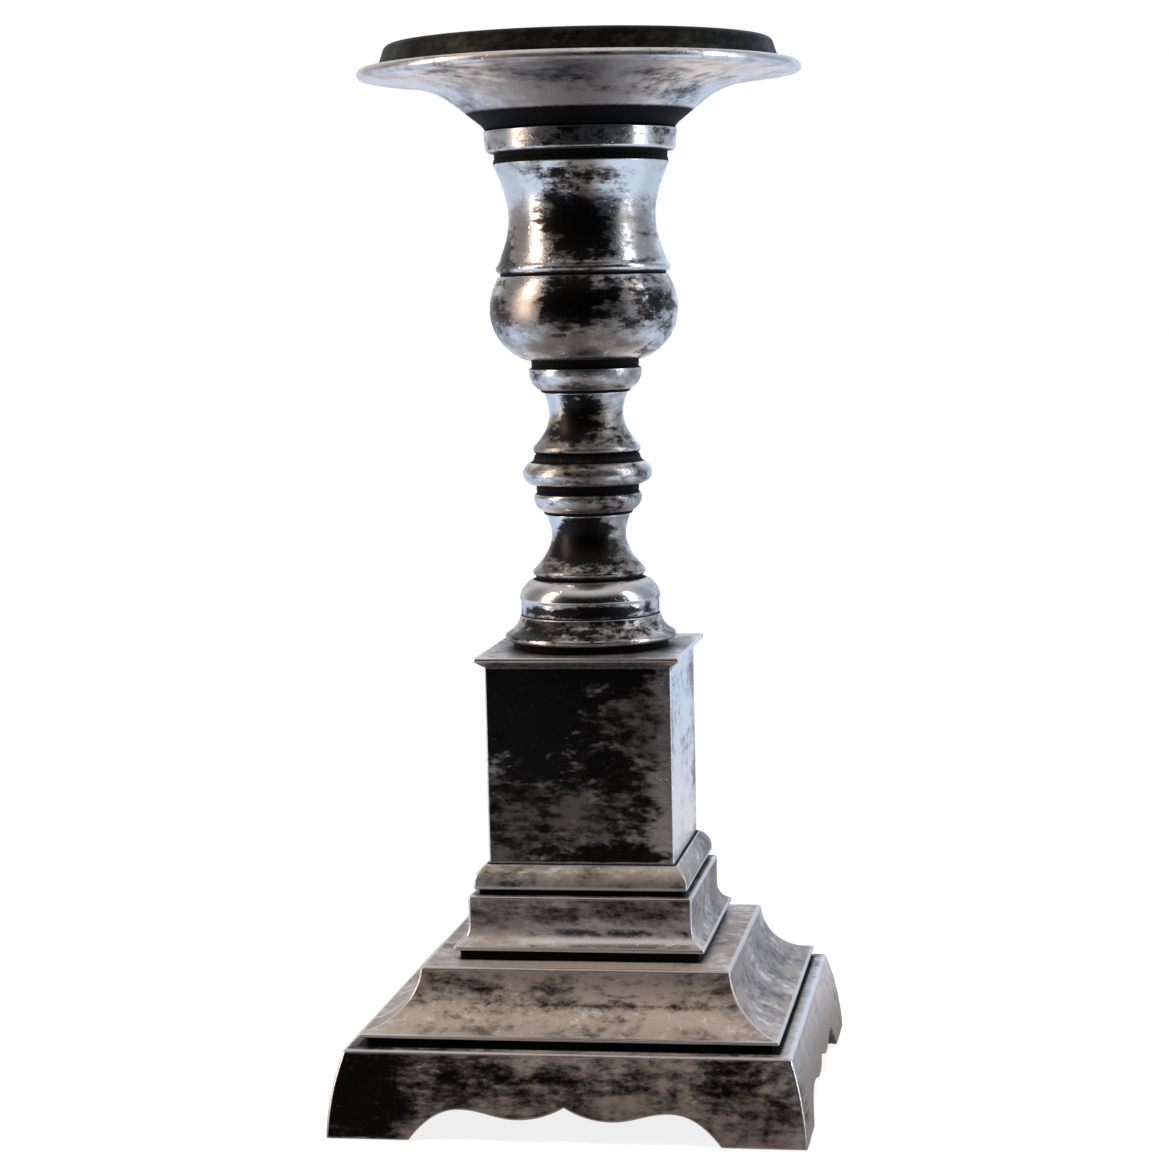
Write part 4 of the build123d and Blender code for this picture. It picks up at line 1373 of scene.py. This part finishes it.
@dataclass
class Nozzle:
    """What lifts out of the socket: drip pan, raised ring, candle tube and its floor."""

    shop: Workshop
    candle_radius: float = 11.25
    tube_radius: float = 12.35
    around: int = 288

    def build(self) -> None:
        """Builds the four pieces."""
        self.pan()
        self.ring()
        self.tube()
        self.floor()

    def pan(self) -> None:
        """Trumpet underside, rounded lip, and a dished top round the candle tube.

        The lip dips by wavy s^2, where wavy = 0.16 + 0.1 cos(3 t + 0.7) + 0.06 cos(5 t) and s runs
        from 0 to 1 over the outer 4 mm.
        """
        low = self.shop.low("drip_pan")
        face = Outline((self.tube_radius, 0.0), low).line((19.9, 0.0), grime_and_shade=0.9)
        face.line((20.5, 0.9), grime_and_shade=0.75)
        face.curve((24.4, 4.0), (28.8, 7.2), (35.0, 9.3), (45.3, 10.7))
        face.arc((46.2, 11.9), (45.3, 13.0)).line((42.4, 13.0)).line((38.4, 13.0), grime_and_shade=0.6)
        face.line((38.0, 11.6), grime_and_shade=0.7).curve((33.0, 10.6), (27.4, 8.5), (22.6, 4.9), grime_and_shade=0.1)
        face.line((18.6, 1.6), (self.tube_radius, 1.6), grime_and_shade=0.45)
        section = face.sampled(wear=0.2, spacing=0.9)
        surface = turned(section, self.around, Ripple(0.06, 14.0, 60.0, seed=SEED + 60))
        angle = np.arctan2(surface.grid[..., 1], surface.grid[..., 0])
        reach = np.hypot(surface.grid[..., 0], surface.grid[..., 1])
        out = np.clip((reach - 42.5) / 4.0, 0.0, 1.0)
        wavy = 0.16 + 0.1 * np.cos(3 * angle + 0.7) + 0.06 * np.cos(5 * angle)
        surface.grid[..., 2] -= out**2 * wavy
        # Painted shade at the pan's throat, with some soiling: the lowest 4 mm of the underside go
        # dark.
        throat_soil_and_shade = np.clip(low + 4.0 - surface.grid[..., 2], 0.0, 1.0) * (reach > 19.4)
        surface.marks["grime_and_shade"] = np.maximum(surface.marks["grime_and_shade"], throat_soil_and_shade)
        self.shop.deliver("drip_pan", surface)

    def ring(self) -> None:
        """Raised ring that leans in and is rounded on top."""
        low, tall = self.shop.span("pan_ring")
        face = Outline((38.6, 0.0), low).line((41.7, 0.0), grime_and_shade=0.8).line((40.6, tall - 1.5))
        face.arc((40.1, tall - 0.45), (39.1, tall)).line((38.4, tall), (38.0, tall - 0.4))
        section = face.sampled(wear=0.16, spacing=0.7)
        ripple = Ripple(0.08, 12.0, 50.0, seed=SEED + 61)
        self.shop.deliver("pan_ring", turned(section, self.around, ripple))

    def tube(self) -> None:
        """Candle tube with a rolled lip."""
        low, tall = self.shop.span("nozzle_sleeve")
        outer, inner = self.tube_radius, self.candle_radius
        face = Outline((inner, 0.0), low).line((outer, 0.0), (outer, tall - 1.8))
        face.arc((outer + 0.9, tall - 0.9), (outer, tall)).line((inner + 0.3, tall))
        face.line((inner, tall - 0.3)).line((inner, 0.0), grime_and_shade=0.3)
        section = face.sampled(spacing=0.9)
        self.shop.deliver("nozzle_sleeve", turned(section, 180, Ripple(0.012, seed=SEED + 62)))

    def floor(self) -> None:
        """Disc that closes the tube."""
        low, thick = self.shop.span("nozzle_floor")
        outer = self.tube_radius
        face = Outline((0.0, 0.0), low).line((outer - 0.4, 0.0), (outer, 0.4), (outer, thick))
        face.line((0.0, thick), grime_and_shade=0.4)
        section = face.sampled(spacing=0.8)
        self.shop.deliver("nozzle_floor", turned(section, 160, Ripple(0.02, seed=SEED + 63)))


@dataclass
class Fastening:
    """Threaded rod with a nut and a washer at each end."""

    shop: Workshop
    rod_radius: float = 3.0
    pitch: float = 1.0
    thread_depth: float = 0.55
    threaded: float = 15.0
    nut_across: float = 10.046

    def build(self) -> None:
        """Builds the five pieces."""
        self.rod()
        for node in ("top_nut", "bottom_nut"):
            self.nut(node)
        for node in ("top_washer", "bottom_washer"):
            self.washer(node)

    def rod(self) -> None:
        """Rod with a helical thread at each end.

        The radius is rod_radius - depth w, where w is a triangle wave of z / pitch - t / 2 pi
        that fades out where the thread ends and at the chamfered tips.
        """
        low, high = self.shop.low("tie_rod"), self.shop.high("tie_rod")
        steps = np.arange(low, low + self.threaded, self.pitch / 8.0)
        plain = np.arange(low + self.threaded, high - self.threaded, 2.0)
        height = np.concatenate([steps, plain, np.sort(low + high - steps)])
        around = 48
        angle = 2.0 * math.pi * np.arange(around) / around
        from_end = np.minimum(height - low, high - height)[:, None]
        phase = (height[:, None] / self.pitch - angle / (2.0 * math.pi)) % 1.0
        wave = np.clip(np.abs(2.0 * phase - 1.0) * 1.3 - 0.1, 0.0, 1.0)
        fade = np.clip((self.threaded - from_end) / 2.0, 0.0, 1.0)
        tip = np.clip(0.7 - from_end, 0.0, 0.7)
        radius = np.minimum(self.rod_radius - self.thread_depth * wave * fade, self.rod_radius - tip)
        level = np.broadcast_to(height[:, None], radius.shape)
        grid = np.stack([radius * np.cos(angle), radius * np.sin(angle), level], -1)
        surface = Surface(grid, {"edge": (1.0 - wave) * fade * 0.5, "grime_and_shade": wave * fade * 0.8}, True)
        self.shop.deliver("tie_rod", surface)

    def nut(self, node: str) -> None:
        """Hexagon nut: the smaller of a chamfered turning and a hexagon, r = a / cos(t).

        Args:
            node: the CAD node that it stands for.
        """
        low, tall = self.shop.span(node)
        flat, hole = self.nut_across / 2.0, self.rod_radius + 0.05
        corner = flat / math.cos(math.pi / 6.0)
        face = Outline((hole + 0.3, 0.0), low).line((flat - 0.1, 0.0), (corner + 0.1, 0.55))
        face.line((corner + 0.1, tall - 0.55), (flat - 0.1, tall), (hole + 0.3, tall))
        face.line((hole, tall - 0.3), (hole, 0.3), grime_and_shade=0.8)
        surface = turned(face.sampled(wear=0.06, spacing=0.5), 144, Ripple(0.0))
        x, y = surface.grid[..., 0], surface.grid[..., 1]
        reach, angle = np.hypot(x, y), np.arctan2(y, x)
        sector = math.pi / 3.0
        within = np.abs((angle + sector / 2.0) % sector - sector / 2.0)
        hexagon = flat / np.cos(sector / 2.0 - within)
        shrink = np.minimum(1.0, hexagon / reach)
        surface.grid[..., :2] *= shrink[..., None]
        ridge = np.clip(1.0 - within / 0.07, 0.0, 1.0) * (reach > flat)
        surface.marks["edge"] = np.maximum(surface.marks["edge"] * 0.7, ridge)
        self.shop.deliver(node, surface)

    def washer(self, node: str) -> None:
        """Flat washer with eased edges.

        Args:
            node: the CAD node that it stands for.
        """
        corner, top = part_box(node)
        low, outer, thick = corner.z / MM, top.x / MM, (top.z - corner.z) / MM
        face = Outline((ROD_HOLE, 0.0), low).line((outer, 0.0), (outer, thick))
        face.line((ROD_HOLE, thick), (ROD_HOLE, 0.0), grime_and_shade=0.4)
        section = face.sampled(wear=0.12, spacing=0.6)
        self.shop.deliver(node, turned(section, 128, Ripple(0.02, seed=SEED + 80)))


# ------------------------------------------------------------------ studio


def pose(right: np.ndarray, up: np.ndarray, back: np.ndarray, spot: object) -> Matrix:
    """Matrix whose columns are three axes and a place."""
    matrix = np.eye(4)
    matrix[:3] = np.column_stack([right, up, back, spot])
    return Matrix(matrix.tolist())


def spun(first: np.ndarray, second: np.ndarray, degrees: float) -> tuple[np.ndarray, np.ndarray]:
    """Two axes at right angles, turned in their plane from the first towards the second."""
    turn = math.radians(degrees)
    cos, sin = math.cos(turn), math.sin(turn)
    return first * cos + second * sin, second * cos - first * sin


@dataclass(frozen=True)
class Softbox:
    """A soft area light that shines at a point on the stick's axis."""

    name: str
    azimuth: float
    elevation: float
    distance: float
    width: float
    height: float
    power: float
    colour: Colour = WHITE
    aim: float = 0.11
    mirrored: bool = True

    def place(self) -> bpy.types.Object:
        """Puts the light up.

        Returns:
            The light.
        """
        data = bpy.data.lights.new(self.name, "AREA")
        data.shape, data.size, data.size_y = "RECTANGLE", self.width, self.height
        data.energy, data.color = self.power, self.colour
        light = add_object(self.name, data)
        turn, tilt = math.radians(self.azimuth), math.radians(self.elevation)
        level = np.array([math.sin(turn), -math.cos(turn), 0.0])
        back = level * math.cos(tilt) + np.array([0.0, 0.0, math.sin(tilt)])
        side = np.cross([0.0, 0.0, 1.0], back)
        side /= np.linalg.norm(side)
        up = np.cross(back, side)
        spot = back * self.distance + np.array([0.0, 0.0, self.aim])
        light.matrix_world = pose(side, up, back, spot)
        light.visible_camera = False
        light.visible_glossy = self.mirrored
        return light


@dataclass(frozen=True)
class Studio:
    """Camera, floor, surroundings and lights.

    The floor and room values are how bright each part is to everything but the camera, which
    sees white all round.
    """

    azimuth: float = 9.085
    camera_height: float = 0.16907
    distance: float = 0.60889
    yaw: float = -0.109
    pitch: float = -5.83
    roll: float = -1.258
    lens: float = 89.07
    sensor: float = 36.0
    floor_half: float = 3.0
    floor_drop: float = 0.0002
    floor_middle: float = 0.29
    floor_sides: float = 1.15
    floor_back: float = 0.95
    floor_front: float = 0.02
    room_left: float = 0.26
    room_right: float = 0.47
    room_back: float = 0.6
    room_above: float = 0.74
    softboxes: tuple[Softbox, ...] = (
        Softbox("left_strip", -68.0, 18.0, 0.8, 0.1, 0.8, 4.4, (1.0, 0.85, 0.72)),
        Softbox("right_strip", 84.0, 16.0, 0.8, 0.12, 0.8, 2.6, (0.85, 0.92, 1.0)),
        Softbox("overhead", 10.0, 82.0, 1.2, 0.9, 0.6, 38.0, (1.0, 0.95, 0.9), mirrored=False),
    )

    def build(self) -> None:
        """Sets the camera, the floor, the surroundings and the lights."""
        self.camera()
        self.floor()
        self.surroundings()
        for box in self.softboxes:
            box.place()
        bpy.context.scene.view_settings.view_transform = "Standard"

    def camera(self) -> None:
        """Camera in front and a little to the right, level with the socket."""
        turn = math.radians(self.azimuth)
        ahead = np.array([-math.sin(turn), math.cos(turn), 0.0])
        right = np.array([math.cos(turn), math.sin(turn), 0.0])
        up = np.array([0.0, 0.0, 1.0])
        ahead, right = spun(ahead, right, self.yaw)
        ahead, up = spun(ahead, up, self.pitch)
        right, up = spun(right, up, self.roll)
        spot = [self.distance * math.sin(turn), -self.distance * math.cos(turn), self.camera_height]
        data = bpy.data.cameras.new("camera")
        data.lens, data.sensor_width, data.sensor_fit = self.lens, self.sensor, "HORIZONTAL"
        data.clip_start, data.clip_end = 0.01, 50.0
        camera = add_object("camera", data)
        camera.matrix_world = pose(right, up, -ahead, spot)
        bpy.context.scene.camera = camera

    def floor(self) -> None:
        """Plain pale floor, which reflections see darker away from the stick."""
        half = self.floor_half
        mesh = bpy.data.meshes.new("floor")
        corners = [(-half, -half, 0.0), (half, -half, 0.0), (half, half, 0.0), (-half, half, 0.0)]
        mesh.from_pydata(corners, [], [(0, 1, 2, 3)])
        floor = add_object("floor", mesh)
        floor.location.z = -self.floor_drop
        material = bpy.data.materials.new("pale_floor")
        sheet = fresh_sheet(material)
        place = sheet.node("TexCoord").outputs["Object"]
        ahead, aside = self.bearings(sheet, place)
        away = sheet.node("VectorMath", {0: place}, operation="LENGTH").outputs["Value"]
        aside = sheet.node("Math", {0: aside}, operation="ABSOLUTE").outputs[0]
        sides = sheet.ramp(aside, 0.05, 0.2)
        near = sheet.value_mix(sides, self.floor_middle, self.floor_sides)
        near = sheet.value_mix(sheet.ramp(ahead, -0.03, -0.2), near, self.floor_back)
        light = sheet.value_mix(sheet.ramp(ahead, 0.22, 0.5), near, self.floor_front)
        tint = sheet.colour_mix(sides, (1.0, 0.92, 0.9), (0.72, 0.88, 1.12))
        mirrored = sheet.node("Emission", {"Color": tint, "Strength": light})
        paper = sheet.node("BsdfDiffuse", {"Color": (0.9, 0.9, 0.9)})
        bright = sheet.node("Emission", {"Color": WHITE, "Strength": 1.0})
        fade = sheet.value_mix(sheet.ramp(away, 0.07, 0.25), 0.85, 1.0)
        seen = sheet.node("MixShader", {0: fade, 1: paper.outputs[0], 2: bright.outputs[0]})
        self.show(sheet, "OutputMaterial", mirrored, seen)
        mesh.materials.append(material)

    def show(self, sheet: Sheet, kind: str, mirrored: bpy.types.Node, seen: bpy.types.Node) -> None:
        """Ends a node tree with one shader for the camera and another for every other ray.

        Args:
            sheet: the tree's nodes.
            kind: the type of its output node.
            mirrored: the shader that reflections and light meet.
            seen: the shader that the camera sees.
        """
        camera = sheet.node("LightPath").outputs["Is Camera Ray"]
        mix = sheet.node("MixShader", {0: camera, 1: mirrored.outputs[0], 2: seen.outputs[0]})
        sheet.node(kind, {"Surface": mix.outputs[0]})

    def bearings(self, sheet: Sheet, vector: object) -> tuple:
        """Parts of a vector that point out of the front, and to the right of it."""
        turn = math.radians(self.azimuth)
        ways = ((math.sin(turn), -math.cos(turn), 0.0), (math.cos(turn), math.sin(turn), 0.0))
        return tuple(
            sheet.node("VectorMath", {0: vector, 1: way}, operation="DOT_PRODUCT").outputs["Value"]
            for way in ways
        )

    def surroundings(self) -> None:
        """Pale room that lights the stick from the sides, the back and above, not the front."""
        world = bpy.data.worlds.new("studio")
        bpy.context.scene.world = world
        sheet = fresh_sheet(world)
        way = sheet.node("TexCoord").outputs["Generated"]
        flat = sheet.node("VectorMath", {0: way, 1: (1.0, 1.0, 0.0)}, operation="MULTIPLY")
        level = sheet.node("VectorMath", {0: flat.outputs[0]}, operation="NORMALIZE").outputs[0]
        ahead, aside = self.bearings(sheet, level)
        height = sheet.node("SeparateXYZ", {0: way}).outputs["Z"]
        right = sheet.ramp(aside, -0.3, 0.3)
        sides = sheet.value_mix(right, self.room_left, self.room_right)
        sides = sheet.times(sheet.ramp(ahead, 0.5, 0.0), sides)
        level_light = sheet.sum((1.0, sides), (self.room_back, sheet.ramp(ahead, -0.45, -0.95)))
        above = sheet.ramp(height, 0.52, 0.92)
        light = sheet.value_mix(above, level_light, self.room_above)
        level_tint = sheet.colour_mix(right, (0.95, 0.96, 1.0), (0.74, 0.89, 1.1))
        tint = sheet.colour_mix(above, level_tint, (1.0, 0.94, 0.9))
        mirrored = sheet.node("Background", {"Color": tint, "Strength": light})
        seen = sheet.node("Background", {"Color": WHITE, "Strength": 1.0})
        self.show(sheet, "OutputWorld", mirrored, seen)


def main() -> None:
    """Builds the studio and every sub-assembly, from the floor up."""
    logging.basicConfig(level=logging.INFO, format="%(message)s")
    Studio().build()
    shop = Workshop()
    for assembly in (Base, Pedestal, Stem, Socket, Nozzle, Fastening):
        LOG.info("building %s", assembly.__name__)
        assembly(shop).build()


if __name__ == "__main__":
    main()
